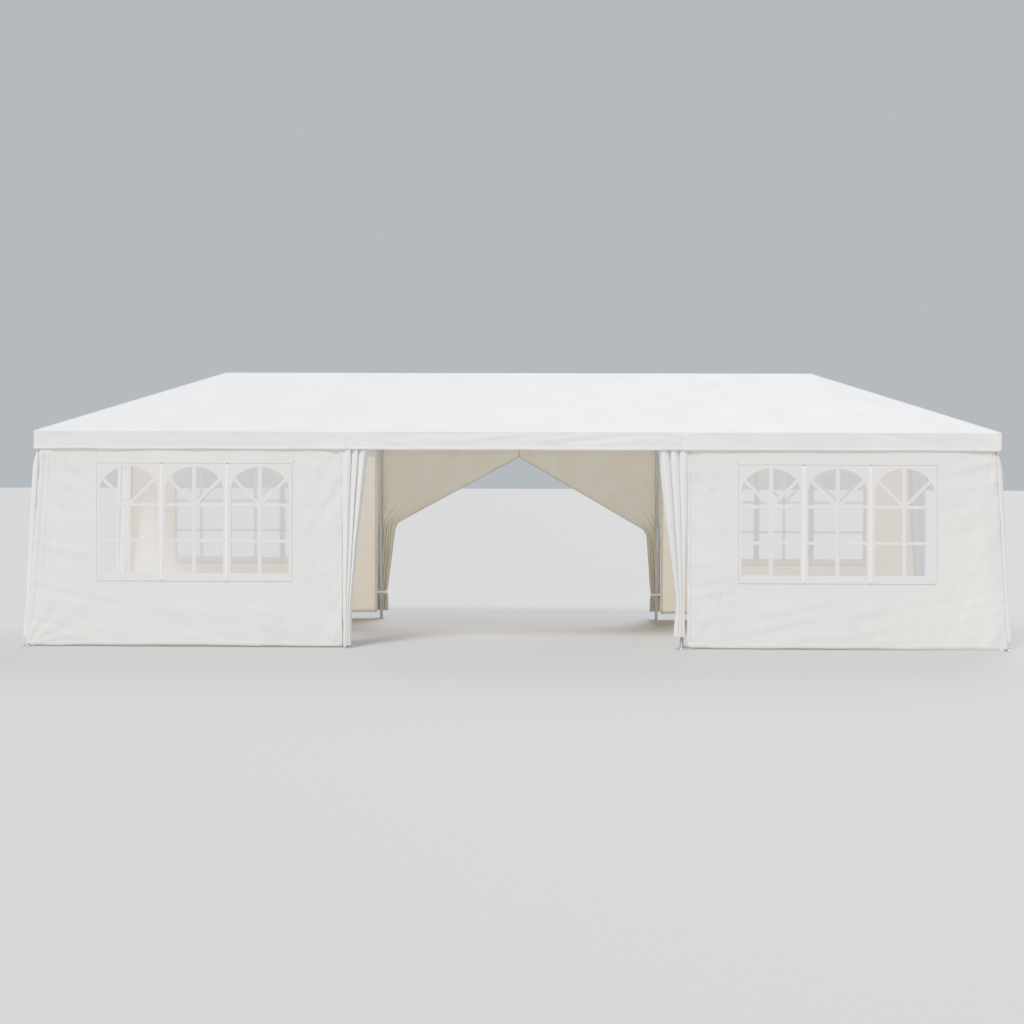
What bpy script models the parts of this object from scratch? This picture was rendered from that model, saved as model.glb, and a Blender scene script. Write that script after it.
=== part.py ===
"""Party marquee: a hipped white cover on a slip-together steel frame, three bays long.

Metres, +Z up. The origin is the middle of the footprint at ground level. The long sides face
-Y (front) and +Y (back), and the ends face -X (left) and +X (right). The four outer bays are
closed by window walls, the back centre bay by a zipped wall that is drawn up into a peak, and
the front centre bay and both ends stand open with their curtains gathered at the legs.
"""

import math

import bmesh
import bpy
from mathutils import Matrix, Vector

# Frame lines, between tube axes; the hip run is how far the ridge stops short of each end
SPAN = 2.93
OUTER_BAY = 2.895
HALF_CENTRE_BAY = 1.57
HIP_RUN = 1.435
EAVE_HEIGHT = 2.03
RIDGE_HEIGHT = 2.66
# How far a foot stands outside the top of its leg: end legs along the tent, all legs across it
FOOT_SPREAD_LENGTH = 0.13
FOOT_SPREAD_SPAN = 0.04

# Steel tubes and the sockets that they slip into
TUBE_RADIUS = 0.019
SOCKET_WALL = 0.003
SLIP_GAP = 0.0003
SOCKET_MOUTH = 0.13
SOCKET_DEPTH = 0.072
HUB_INSET = 0.0015
SEATING_GAP = 0.0003
TUBE_SIDES = 12

# The sleeve that joins the two halves of a leg, and its ground plate
SLEEVE_HEIGHT = 0.97
SLEEVE_LENGTH = 0.07
SLEEVE_WALL = 0.0025
PLATE_SIZE = 0.1
PLATE_THICKNESS = 0.005
PLATE_CORNER = 0.014
PEG_HOLE_RADIUS = 0.006
PEG_HOLE_INSET = 0.018

# Roof cover with its valance
COVER_THICKNESS = 0.003
VALANCE_STANDOFF = 0.06
VALANCE_DEPTH = 0.165

# Wall sheets, and the seam between two neighbours beside a middle leg
WALL_THICKNESS = 0.003
FRONT_HEM_HEIGHT = 0.02
BACK_HEM_HEIGHT = 0.06
PANEL_SEAM = 0.05

# Window panels: three arched lights each, closed by one clear film
PANEL_WIDTH = 1.86
PANEL_HEIGHT = 1.12
PANEL_SILL = 0.615
LIGHT_COUNT = 3
LIGHT_WIDTH = 0.55
LIGHT_HEIGHT = 1.0
LIGHT_SILL = 0.08
ARCH_RISE = 0.22
ARCH_STEPS = 12
FILM_THICKNESS = 0.001

# Gathered curtains: spread under the eave, nipped at the tie, loose below it
CURTAIN_HEAD_DROP = 0.02
CURTAIN_SPREAD = 0.2
CURTAIN_TOP_DEPTH = 0.022
CURTAIN_TIE_HEIGHT = 0.46
CURTAIN_TIE_BAND = 0.04
CURTAIN_TIE_WIDTH = 0.066
CURTAIN_TIE_DEPTH = 0.036
CURTAIN_TAIL_WIDTH = 0.09
CURTAIN_TAIL_DEPTH = 0.055
CURTAIN_HEM_HEIGHT = 0.09
CURTAIN_FOLD_COUNT = 4
# Share of a gathered cloth's depth that is left in the hollows between its folds
FOLD_HOLLOW = 0.44

# Back centre wall: the zip opens from the peak, and each half is drawn to its leg
FLAP_PEAK_DROP = 0.185
FLAP_KINK_HEIGHT = 1.06
FLAP_KINK_INSET = 0.13
FLAP_TIE_HEIGHT = 0.3
FLAP_TIE_BAND = 0.05
FLAP_TIE_INSET = 0.06
FLAP_TIE_DEPTH = 0.025
FLAP_HEM_HEIGHT = 0.08
FLAP_BUNCH_DEPTH = 0.055
FLAP_FOLD_COUNT = 2

# Worked out from the sizes above
LENGTH = 2 * (HALF_CENTRE_BAY + OUTER_BAY)
RIDGE_LENGTH = LENGTH - 2 * HIP_RUN
SOCKET_RADIUS = TUBE_RADIUS + SLIP_GAP + SOCKET_WALL
TUBE_END = SOCKET_MOUTH - SOCKET_DEPTH + SLIP_GAP
SHEET_OFFSET = SOCKET_RADIUS + SEATING_GAP
SLOPE_TAN = (RIDGE_HEIGHT - EAVE_HEIGHT) / (SPAN / 2)
SLOPE_COS = 1 / math.hypot(1.0, SLOPE_TAN)
COVER_LIFT = SHEET_OFFSET / SLOPE_COS
VALANCE_HEAD = EAVE_HEIGHT + COVER_LIFT - VALANCE_STANDOFF * SLOPE_TAN
VALANCE_FOOT = VALANCE_HEAD - VALANCE_DEPTH

STEEL = ("galvanised_steel", (0.50, 0.52, 0.53), 0.38, 0.9)
COVER = ("roof_tarpaulin", (0.86, 0.87, 0.89), 0.55, 0.0)
SHEET = ("wall_tarpaulin", (0.83, 0.82, 0.79), 0.6, 0.0)
CLEAR = ("clear_film", (0.9, 0.92, 0.92), 0.12, 0.0)


def clear_scene():
    """Removes every object, so that the file holds only the marquee."""
    for old in list(bpy.data.objects):
        bpy.data.objects.remove(old, do_unlink=True)


def new_collection(name):
    """Makes a collection of that name in the scene."""
    made = bpy.data.collections.new(name)
    bpy.context.scene.collection.children.link(made)
    return made


def material_of(finish):
    """Returns the Principled material of a finish, made once."""
    name, colour, roughness, metallic = finish
    found = bpy.data.materials.get(name)
    if found:
        return found
    made = bpy.data.materials.new(name)
    made.use_nodes = True
    shader = made.node_tree.nodes["Principled BSDF"]
    shader.inputs["Base Color"].default_value = (*colour, 1.0)
    shader.inputs["Roughness"].default_value = roughness
    shader.inputs["Metallic"].default_value = metallic
    return made


def object_from(name, bm, home, finish=None):
    """Turns a bmesh into an object in a collection and frees the bmesh."""
    bmesh.ops.recalc_face_normals(bm, faces=bm.faces)
    mesh = bpy.data.meshes.new(name)
    bm.to_mesh(mesh)
    bm.free()
    made = bpy.data.objects.new(name, mesh)
    home.objects.link(made)
    if finish:
        made.data.materials.append(material_of(finish))
    return made


def axis_turn(start, end):
    """Rotation that points local +Z from start to end, with local Y kept upright."""
    return (end - start).to_track_quat("Z", "Y")


def rod(name, start, end, radius, home, finish=None, twist=0.0):
    """A solid round bar between two points, its facets turned by `twist` about its axis."""
    bm = bmesh.new()
    length = (end - start).length
    bmesh.ops.create_cone(
        bm, cap_ends=True, segments=TUBE_SIDES, radius1=radius, radius2=radius, depth=length
    )
    bmesh.ops.rotate(bm, verts=bm.verts, matrix=Matrix.Rotation(twist, 3, "Z"))
    made = object_from(name, bm, home, finish)
    made.matrix_world = Matrix.LocRotScale((start + end) / 2, axis_turn(start, end), None)
    return made


def ball(name, centre, radius, home):
    """A faceted ball that carries the arms of a connector."""
    bm = bmesh.new()
    bmesh.ops.create_uvsphere(bm, u_segments=TUBE_SIDES, v_segments=8, radius=radius)
    made = object_from(name, bm, home)
    made.location = centre
    return made


def evaluated_mesh(source):
    """Mesh of an object with its modifiers applied, in the object's own frame."""
    bpy.context.view_layer.update()
    graph = bpy.context.evaluated_depsgraph_get()
    return bpy.data.meshes.new_from_object(source.evaluated_get(graph))


def combine(base, joined=(), cut=()):
    """Adds some bodies to a base, then cuts others out of it. The tools are removed."""
    for tool, operation in [(t, "UNION") for t in joined] + [(t, "DIFFERENCE") for t in cut]:
        step = base.modifiers.new(operation.lower(), "BOOLEAN")
        step.operation = operation
        step.solver = "EXACT"
        step.object = tool
    mesh = evaluated_mesh(base)
    base.modifiers.clear()
    base.data = mesh
    for tool in [*joined, *cut]:
        bpy.data.objects.remove(tool, do_unlink=True)
    return base


def spread(across, height):
    """Horizontal step outward at a height, for a leg line that stands `across` out at its foot."""
    return across * (EAVE_HEIGHT - height) / EAVE_HEIGHT


def side_frame(side):
    """Frame of a wall's leg line: X to the right seen from outside, Y up the wall, Z outward.

    Its origin is on the eave axis at the middle of that side.
    """
    outward = {"front": (0, -1), "back": (0, 1), "left": (-1, 0), "right": (1, 0)}[side]
    outward = Vector((*outward, 0))
    half, foot = (SPAN / 2, FOOT_SPREAD_SPAN)
    if side in ("left", "right"):
        half, foot = (LENGTH / 2, FOOT_SPREAD_LENGTH)
    up = (Vector((0, 0, EAVE_HEIGHT)) - outward * foot).normalized()
    right = Vector((0, 0, 1)).cross(outward).normalized()
    normal = right.cross(up)
    turn = Matrix((right, up, normal)).transposed().to_4x4()
    return Matrix.Translation(outward * half + Vector((0, 0, EAVE_HEIGHT))) @ turn


def slant(side, height):
    """Distance up the wall frame's Y for a height above ground; 0 at the eave."""
    foot = FOOT_SPREAD_SPAN if side in ("front", "back") else FOOT_SPREAD_LENGTH
    return (height - EAVE_HEIGHT) * math.hypot(1.0, foot / EAVE_HEIGHT)


def frame_points():
    """Named centres of the connectors and the feet."""
    points = {}
    for end, along in (("left", -1), ("right", 1)):
        points[f"ridge_end_{end}"] = Vector((along * RIDGE_LENGTH / 2, 0, RIDGE_HEIGHT))
        points[f"ridge_middle_{end}"] = Vector((along * HALF_CENTRE_BAY, 0, RIDGE_HEIGHT))
        for side, across in (("front", -1), ("back", 1)):
            y = across * SPAN / 2
            corner = Vector((along * LENGTH / 2, y, EAVE_HEIGHT))
            middle = Vector((along * HALF_CENTRE_BAY, y, EAVE_HEIGHT))
            drop = Vector((0, across * FOOT_SPREAD_SPAN, -EAVE_HEIGHT))
            points[f"corner_{side}_{end}"] = corner
            points[f"side_{side}_{end}"] = middle
            points[f"foot_corner_{side}_{end}"] = corner + drop + Vector((along * FOOT_SPREAD_LENGTH, 0, 0))
            points[f"foot_side_{side}_{end}"] = middle + drop
    return points


def hub_shapes(centre, sleeves, branches, tools):
    """Shapes of a welded connector: its solids, and the bores of its open sockets.

    Sleeves are targets of closed arms, around a tube that runs on through the connector.
    Branches are targets of open sockets, which a separate tube slips into. The arms are turned
    a quarter facet, so that no edges of two crossing arms line up.
    """
    twist = math.pi / TUBE_SIDES / 2
    solids, bores = [ball("hub", centre, SOCKET_RADIUS - HUB_INSET, tools)], []
    for target in [*sleeves, *branches]:
        along = (target - centre).normalized()
        root = centre + along * (SOCKET_RADIUS / 4)
        mouth = centre + along * SOCKET_MOUTH
        solids.append(rod("arm", root, mouth, SOCKET_RADIUS, tools, twist=twist))
    for target in branches:
        along = (target - centre).normalized()
        floor = centre + along * (SOCKET_MOUTH - SOCKET_DEPTH)
        past = centre + along * (SOCKET_MOUTH + SOCKET_RADIUS)
        bores.append(rod("bore", floor, past, TUBE_RADIUS + SLIP_GAP, tools))
    return solids, bores


def build_corner(side, end, points, home, tools):
    """Corner connector: sockets for both eave rails, the hip rafter and the leg."""
    centre = points[f"corner_{side}_{end}"]
    other_side = "back" if side == "front" else "front"
    targets = [
        points[f"side_{side}_{end}"],
        points[f"corner_{other_side}_{end}"],
        points[f"ridge_end_{end}"],
        points[f"foot_corner_{side}_{end}"],
    ]
    (base, *arms), bores = hub_shapes(centre, [], targets, tools)
    tools.objects.unlink(base)
    home.objects.link(base)
    base.name = f"corner_connector_{side}_{end}"
    base.data.materials.append(material_of(STEEL))
    return combine(base, joined=arms, cut=bores)


def build_run(name, start, end, hubs, home, tools):
    """A straight run of tubes from start to end, with the connectors that it passes through.

    Each hub is its centre, the targets along the run and the targets of its open sockets.
    """
    solids, bores = [], []
    for centre, sleeves, branches in hubs:
        more_solids, more_bores = hub_shapes(centre, sleeves, branches, tools)
        solids += more_solids
        bores += more_bores
    return combine(rod(name, start, end, TUBE_RADIUS, home, STEEL), joined=solids, cut=bores)


def seated(first, last):
    """Ends of a tube that is pushed home in the sockets of two connectors."""
    along = (last - first).normalized()
    return first + along * TUBE_END, last - along * TUBE_END


def build_roof_frame(points, home, tools):
    """The ridge, the eaves and the rafters."""
    left, right = points["ridge_end_left"], points["ridge_end_right"]
    hubs = []
    for end, other in (("left", "right"), ("right", "left")):
        middle = points[f"ridge_middle_{end}"]
        corners = [points[f"corner_{side}_{end}"] for side in ("front", "back")]
        sides = [points[f"side_{side}_{end}"] for side in ("front", "back")]
        hubs.append((points[f"ridge_end_{end}"], [middle], corners))
        hubs.append((middle, [points[f"ridge_end_{end}"], points[f"ridge_middle_{other}"]], sides))
    build_run("ridge_pole", left, right, hubs, home, tools)
    for side in ("front", "back"):
        corners = [points[f"corner_{side}_{end}"] for end in ("left", "right")]
        hubs = []
        for end in ("left", "right"):
            branches = [points[f"ridge_middle_{end}"], points[f"foot_side_{side}_{end}"]]
            hubs.append((points[f"side_{side}_{end}"], corners, branches))
        build_run(f"eave_rail_{side}", *seated(*corners), hubs, home, tools)
    for end in ("left", "right"):
        front, back = points[f"corner_front_{end}"], points[f"corner_back_{end}"]
        rod(f"eave_rail_{end}", *seated(front, back), TUBE_RADIUS, home, STEEL)
        for side in ("front", "back"):
            build_corner(side, end, points, home, tools)
            hip = seated(points[f"corner_{side}_{end}"], points[f"ridge_end_{end}"])
            rod(f"hip_rafter_{side}_{end}", *hip, TUBE_RADIUS, home, STEEL)
            rafter = seated(points[f"side_{side}_{end}"], points[f"ridge_middle_{end}"])
            rod(f"rafter_{side}_{end}", *rafter, TUBE_RADIUS, home, STEEL)


def turned(name, profile, home):
    """A solid turned about local Z from a profile of (radius, height), top to bottom."""
    bm = bmesh.new()
    corners = [bm.verts.new((radius, 0, height)) for radius, height in profile]
    for upper, lower in zip(corners, corners[1:]):
        bm.edges.new((upper, lower))
    mesh = bpy.data.meshes.new(name)
    bm.to_mesh(mesh)
    bm.free()
    made = bpy.data.objects.new(name, mesh)
    home.objects.link(made)
    spin = made.modifiers.new("turn", "SCREW")
    spin.axis = "Z"
    spin.steps = spin.render_steps = TUBE_SIDES
    spin.use_merge_vertices = True
    spin.merge_threshold = 0.00001
    mesh = evaluated_mesh(made)
    made.modifiers.clear()
    made.data = mesh
    return made


def ground_plate(foot, tools):
    """Square plate with rounded corners, flat on the ground under a foot."""
    bm = bmesh.new()
    bmesh.ops.create_cube(bm, size=1.0)
    bmesh.ops.scale(bm, vec=(PLATE_SIZE, PLATE_SIZE, PLATE_THICKNESS), verts=bm.verts)
    uprights = [e for e in bm.edges if abs(e.verts[0].co.z - e.verts[1].co.z) > PLATE_THICKNESS / 2]
    bmesh.ops.bevel(bm, geom=uprights, offset=PLATE_CORNER, segments=3, affect="EDGES", profile=0.5)
    plate = object_from("plate", bm, tools)
    plate.location = (foot.x, foot.y, PLATE_THICKNESS / 2)
    return plate


def build_leg(name, top, foot, home, tools):
    """A two-piece leg with its joint sleeve and its pegged ground plate, welded into one."""
    end = top + (foot - top).normalized() * TUBE_END
    start = foot + (top - foot) * (PLATE_THICKNESS / 2 / top.z)
    length = (end - start).length
    stretch = (top - foot).length / top.z
    sleeve_low = (SLEEVE_HEIGHT - PLATE_THICKNESS / 2) * stretch - SLEEVE_LENGTH / 2
    sleeve_high = sleeve_low + SLEEVE_LENGTH
    sleeve_radius = TUBE_RADIUS + SLEEVE_WALL
    profile = [
        (0, length),
        (TUBE_RADIUS, length),
        (TUBE_RADIUS, sleeve_high),
        (sleeve_radius, sleeve_high),
        (sleeve_radius, sleeve_low),
        (TUBE_RADIUS, sleeve_low),
        (TUBE_RADIUS, 0),
        (0, 0),
    ]
    leg = turned(name, profile, home)
    leg.matrix_world = Matrix.LocRotScale(start, axis_turn(start, end), None)
    leg.data.materials.append(material_of(STEEL))
    reach = PLATE_SIZE / 2 - PEG_HOLE_INSET
    hole = Vector((foot.x + math.copysign(reach, foot.x), foot.y + math.copysign(reach, foot.y), 0))
    lift = Vector((0, 0, PLATE_THICKNESS * 2))
    peg_hole = rod("peg_hole", hole - lift, hole + lift, PEG_HOLE_RADIUS, tools)
    return combine(leg, joined=[ground_plate(foot, tools)], cut=[peg_hole])


def build_cover(home):
    """The roof cover: four slopes and a valance all round, one sheet laid on the sockets."""
    end_tan = (RIDGE_HEIGHT - EAVE_HEIGHT) / HIP_RUN
    end_lift = SHEET_OFFSET * math.hypot(1.0, end_tan)
    ridge_top = RIDGE_HEIGHT + COVER_LIFT
    ridge_half = LENGTH / 2 - (ridge_top - EAVE_HEIGHT - end_lift) / end_tan
    edge_x = LENGTH / 2 - (VALANCE_HEAD - EAVE_HEIGHT - end_lift) / end_tan
    edge_y = SPAN / 2 + VALANCE_STANDOFF
    bm = bmesh.new()
    bmesh.ops.create_cube(bm, size=2.0)
    floor = [f for f in bm.faces if f.normal.z < -0.5]
    bmesh.ops.delete(bm, geom=floor, context="FACES_ONLY")
    for corner in bm.verts:
        side_x, side_y = math.copysign(1, corner.co.x), math.copysign(1, corner.co.y)
        if corner.co.z > 0:
            corner.co = (side_x * ridge_half, 0, ridge_top)
        else:
            corner.co = (side_x * edge_x, side_y * edge_y, VALANCE_HEAD)
    bmesh.ops.remove_doubles(bm, verts=bm.verts, dist=COVER_THICKNESS / 4)
    rim = [e for e in bm.edges if e.is_boundary]
    hung = bmesh.ops.extrude_edge_only(bm, edges=rim)["geom"]
    low = [v for v in hung if isinstance(v, bmesh.types.BMVert)]
    bmesh.ops.translate(bm, vec=(0, 0, -VALANCE_DEPTH), verts=low)
    cover = object_from("roof_cover", bm, home, COVER)
    shell = cover.modifiers.new("sheet", "SOLIDIFY")
    shell.thickness = COVER_THICKNESS
    shell.offset = 1.0
    shell.use_even_offset = True
    return cover


def flat_sheet(name, side, outlines, inner, thickness, home, finish):
    """A flat sheet in a wall frame: the first outline less the others, from `inner` outward."""
    curve = bpy.data.curves.new(name, "CURVE")
    curve.dimensions = "2D"
    curve.fill_mode = "BOTH"
    curve.extrude = thickness / 2
    for outline in outlines:
        spline = curve.splines.new("POLY")
        spline.points.add(len(outline) - 1)
        for point, (x, y) in zip(spline.points, outline):
            point.co = (x, y, 0, 1)
        spline.use_cyclic_u = True
    shape = bpy.data.objects.new(name + "_outline", curve)
    home.objects.link(shape)
    mesh = evaluated_mesh(shape)
    bpy.data.objects.remove(shape, do_unlink=True)
    bm = bmesh.new()
    bm.from_mesh(mesh)
    bmesh.ops.remove_doubles(bm, verts=bm.verts, dist=0.00002)
    made = object_from(name, bm, home)
    made.data.materials.clear()
    made.data.materials.append(material_of(finish))
    made.matrix_world = side_frame(side) @ Matrix.Translation((0, 0, inner + thickness / 2))
    return made


def light_outline(centre, sill):
    """Outline of one arched light: straight jambs under a half ellipse."""
    half = LIGHT_WIDTH / 2
    spring = sill + LIGHT_HEIGHT - ARCH_RISE
    outline = [(centre - half, sill), (centre + half, sill)]
    for step in range(ARCH_STEPS + 1):
        turn = math.pi * step / ARCH_STEPS
        outline.append((centre + half * math.cos(turn), spring + ARCH_RISE * math.sin(turn)))
    return outline


def build_window_wall(side, end, home):
    """One window wall of a long side, with its clear film behind the lights."""
    sign = (-1 if end == "left" else 1) * (1 if side == "front" else -1)
    seam = HALF_CENTRE_BAY + PANEL_SEAM + SEATING_GAP / 2
    hem = FRONT_HEM_HEIGHT if side == "front" else BACK_HEM_HEIGHT
    low, high = slant(side, hem), slant(side, EAVE_HEIGHT)
    outer_high = LENGTH / 2 + TUBE_RADIUS
    outer_low = outer_high + spread(FOOT_SPREAD_LENGTH, hem)
    sheet = [(sign * seam, low), (sign * outer_low, low), (sign * outer_high, high), (sign * seam, high)]
    middle = sign * (LENGTH / 2 + HALF_CENTRE_BAY) / 2
    panel_low = slant(side, PANEL_SILL)
    pitch = PANEL_WIDTH / LIGHT_COUNT
    lights = [
        light_outline(middle + (i - (LIGHT_COUNT - 1) / 2) * pitch, panel_low + LIGHT_SILL)
        for i in range(LIGHT_COUNT)
    ]
    flat_sheet(
        f"wall_{side}_{end}", side, [sheet, *lights], SHEET_OFFSET, WALL_THICKNESS, home, SHEET
    )
    left, right = middle - PANEL_WIDTH / 2, middle + PANEL_WIDTH / 2
    top = panel_low + PANEL_HEIGHT
    film = [(left, panel_low), (right, panel_low), (right, top), (left, top)]
    behind = SHEET_OFFSET - SEATING_GAP - FILM_THICKNESS
    flat_sheet(f"window_film_{side}_{end}", side, [film], behind, FILM_THICKNESS, home, CLEAR)


def loft(name, sections, home, finish):
    """A closed solid skinned over rings of points that all have the same count."""
    bm = bmesh.new()
    rings = [[bm.verts.new(point) for point in section] for section in sections]
    for lower, upper in zip(rings, rings[1:]):
        for i in range(len(lower)):
            j = (i + 1) % len(lower)
            bm.faces.new((lower[i], lower[j], upper[j], upper[i]))
    bm.faces.new(rings[0])
    bm.faces.new(rings[-1])
    return object_from(name, bm, home, finish)


def folded_section(near, far, inner, depth, folds, height):
    """Ring of a gathered cloth: a flat back and a front that swells into rounded folds."""
    steps = folds * 4
    front = []
    for step in range(steps + 1):
        share = step / steps
        swell = 1 - (1 - FOLD_HOLLOW) / 2 * (1 + math.cos(2 * math.pi * folds * share))
        front.append((near + (far - near) * share, height, inner + depth * swell))
    back = [(far, height, inner), (near, height, inner)]
    return front + back


def gathered(name, side, leg_at, sign, stations, folds, home, finish):
    """A gathered curtain beside a leg line.

    Each station is (height, outer edge, inner edge, depth), with the edges measured from the
    leg line: positive towards the open bay. `sign` is the way to the bay along the wall frame.
    """
    sections = []
    for height, outer, inward, depth in stations:
        line = leg_at(height)
        sections.append(
            folded_section(
                line + sign * outer,
                line + sign * inward,
                SHEET_OFFSET,
                depth,
                folds,
                slant(side, height),
            )
        )
    made = loft(name, sections, home, finish)
    made.matrix_world = side_frame(side)
    return made


def curtain_stations(outer):
    """Stations of a curtain that is gathered at a leg, with its outer edge at `outer`."""
    tail, tie = CURTAIN_TAIL_WIDTH / 2, CURTAIN_TIE_WIDTH / 2
    return [
        (CURTAIN_HEM_HEIGHT, -tail, tail, CURTAIN_TAIL_DEPTH),
        (CURTAIN_TIE_HEIGHT - CURTAIN_TIE_BAND, -tail, tail, CURTAIN_TAIL_DEPTH),
        (CURTAIN_TIE_HEIGHT, -tie, tie, CURTAIN_TIE_DEPTH),
        (CURTAIN_TIE_HEIGHT + CURTAIN_TIE_BAND, -tail, tail, CURTAIN_TAIL_DEPTH),
        (VALANCE_FOOT, outer, CURTAIN_SPREAD, CURTAIN_TOP_DEPTH),
        (EAVE_HEIGHT - CURTAIN_HEAD_DROP, outer, CURTAIN_SPREAD, CURTAIN_TOP_DEPTH),
    ]


def build_curtains(home):
    """The gathered halves of the front centre wall and of both end walls."""
    beside_seam = curtain_stations(SEATING_GAP / 2 - PANEL_SEAM)
    beside_corner = curtain_stations(-TUBE_RADIUS)
    for end, sign in (("left", -1), ("right", 1)):
        gathered(
            f"curtain_front_{end}",
            "front",
            lambda height, s=sign: s * HALF_CENTRE_BAY,
            -sign,
            beside_seam,
            CURTAIN_FOLD_COUNT,
            home,
            SHEET,
        )
        for side, turn in (("front", 1), ("back", -1)):
            # Seen from outside, an end's right-hand leg is the front one on the left end
            way = turn * (1 if end == "left" else -1)
            gathered(
                f"curtain_{end}_{side}",
                end,
                lambda height, w=way: w * (SPAN / 2 + spread(FOOT_SPREAD_SPAN, height)),
                -way,
                beside_corner,
                CURTAIN_FOLD_COUNT,
                home,
                SHEET,
            )


def build_back_flap(end, home, tools):
    """Half of the zipped back wall: flat under the eave, then gathered down its leg."""
    sign = 1 if end == "left" else -1
    leg = HALF_CENTRE_BAY
    seam = leg + PANEL_SEAM - SEATING_GAP / 2
    kink, tie = leg - FLAP_KINK_INSET, leg - FLAP_TIE_INSET
    corners = [
        (seam, EAVE_HEIGHT),
        (SEATING_GAP / 2, EAVE_HEIGHT),
        (SEATING_GAP / 2, EAVE_HEIGHT - FLAP_PEAK_DROP),
        (kink, FLAP_KINK_HEIGHT),
        (tie, FLAP_TIE_HEIGHT),
        (tie, FLAP_HEM_HEIGHT),
        (seam, FLAP_HEM_HEIGHT),
    ]
    outline = [(sign * x, slant("back", height)) for x, height in corners]
    flap = flat_sheet(
        f"door_flap_back_{end}", "back", [outline], SHEET_OFFSET, WALL_THICKNESS, home, SHEET
    )
    inset, outer = WALL_THICKNESS, WALL_THICKNESS - PANEL_SEAM
    at_kink, at_tie = FLAP_KINK_INSET - inset, FLAP_TIE_INSET - inset
    stations = [
        (FLAP_HEM_HEIGHT + inset, outer, at_tie, FLAP_BUNCH_DEPTH),
        (FLAP_TIE_HEIGHT - FLAP_TIE_BAND, outer, at_tie, FLAP_BUNCH_DEPTH),
        (FLAP_TIE_HEIGHT, outer, at_tie, FLAP_TIE_DEPTH),
        (FLAP_TIE_HEIGHT + FLAP_TIE_BAND, outer, at_tie, FLAP_BUNCH_DEPTH),
        (FLAP_KINK_HEIGHT, outer, at_kink, FLAP_BUNCH_DEPTH),
        (FLAP_KINK_HEIGHT + FLAP_KINK_INSET, outer, at_kink, WALL_THICKNESS / 2),
    ]
    bunch = gathered(
        "bunch", "back", lambda height: sign * leg, -sign, stations, FLAP_FOLD_COUNT, tools, SHEET
    )
    bunch.matrix_world = side_frame("back") @ Matrix.Translation((0, 0, WALL_THICKNESS / 4))
    return combine(flap, joined=[bunch])


def main():
    """Builds the whole marquee."""
    clear_scene()
    marquee = new_collection("marquee")
    tools = new_collection("cutters")
    points = frame_points()
    build_roof_frame(points, marquee, tools)
    for side in ("front", "back"):
        for end in ("left", "right"):
            for kind in ("corner", "side"):
                place = f"{kind}_{side}_{end}"
                build_leg(f"leg_{place}", points[place], points[f"foot_{place}"], marquee, tools)
            build_window_wall(side, end, marquee)
    build_cover(marquee)
    build_curtains(marquee)
    for end in ("left", "right"):
        build_back_flap(end, marquee, tools)


main()
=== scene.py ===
"""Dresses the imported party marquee: woven covers, window walls, drawn curtains, tube frame.

Metres, +Z up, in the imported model's own frame. `Plan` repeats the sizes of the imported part. Cloth
is laid out on grids whose map coordinates are metres along and up the sheet, so that the weave
follows every fold.
"""

import logging
import math
from dataclasses import dataclass
from enum import Enum
from functools import partial
from typing import Any, Callable, Mapping, Sequence

import bmesh
import bpy
import numpy as np
from mathutils import Matrix, Vector


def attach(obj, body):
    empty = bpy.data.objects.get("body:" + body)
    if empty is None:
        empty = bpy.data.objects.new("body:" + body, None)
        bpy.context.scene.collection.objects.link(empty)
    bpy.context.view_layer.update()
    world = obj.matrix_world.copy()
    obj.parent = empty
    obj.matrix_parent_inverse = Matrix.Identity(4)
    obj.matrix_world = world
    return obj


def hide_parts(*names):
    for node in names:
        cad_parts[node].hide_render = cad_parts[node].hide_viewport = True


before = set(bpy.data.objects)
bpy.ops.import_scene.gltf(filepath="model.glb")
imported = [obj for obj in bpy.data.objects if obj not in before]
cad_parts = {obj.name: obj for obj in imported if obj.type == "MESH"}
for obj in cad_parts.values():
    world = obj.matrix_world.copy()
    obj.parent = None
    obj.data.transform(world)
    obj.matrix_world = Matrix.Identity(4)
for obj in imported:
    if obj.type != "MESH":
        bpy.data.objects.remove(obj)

Array = np.ndarray
Numbers = np.ndarray | float
Profile = Sequence[tuple[float, float]]
Socket = bpy.types.NodeSocket
AddNode = Callable[..., bpy.types.Node]

log = logging.getLogger("marquee")
ROOT = "root"
CLOTH_MAP = "ClothMetres"
UP = np.array([0.0, 0.0, 1.0])


# Shared helpers


def linear(code: str) -> tuple[float, float, float, float]:
    """Turns an sRGB hex colour into a linear RGBA one.

    Args:
        code: Six hex digits after a hash.

    Returns:
        Linear red, green and blue, with an alpha of 1.
    """
    shares = [int(code[i : i + 2], 16) / 255 for i in (1, 3, 5)]
    red, green, blue = (s / 12.92 if s <= 0.04045 else ((s + 0.055) / 1.055) ** 2.4 for s in shares)
    return red, green, blue, 1.0


def add_node(
    tree: bpy.types.NodeTree, kind: str, inputs: Mapping[str | int, Any] | None = None, **settings: Any
) -> bpy.types.Node:
    """Adds a node with its settings and links.

    Args:
        tree: Node tree that takes the node.
        kind: Type name of the node.
        inputs: Input sockets by name or number, each with a value or the socket that feeds it.
        settings: Attributes of the node, set before its inputs.

    Returns:
        The new node.
    """
    node = tree.nodes.new(kind)
    for name, value in settings.items():
        setattr(node, name, value)
    for name, value in (inputs or {}).items():
        if isinstance(value, bpy.types.NodeSocket):
            tree.links.new(value, node.inputs[name])
        else:
            node.inputs[name].default_value = value
    return node


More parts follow.
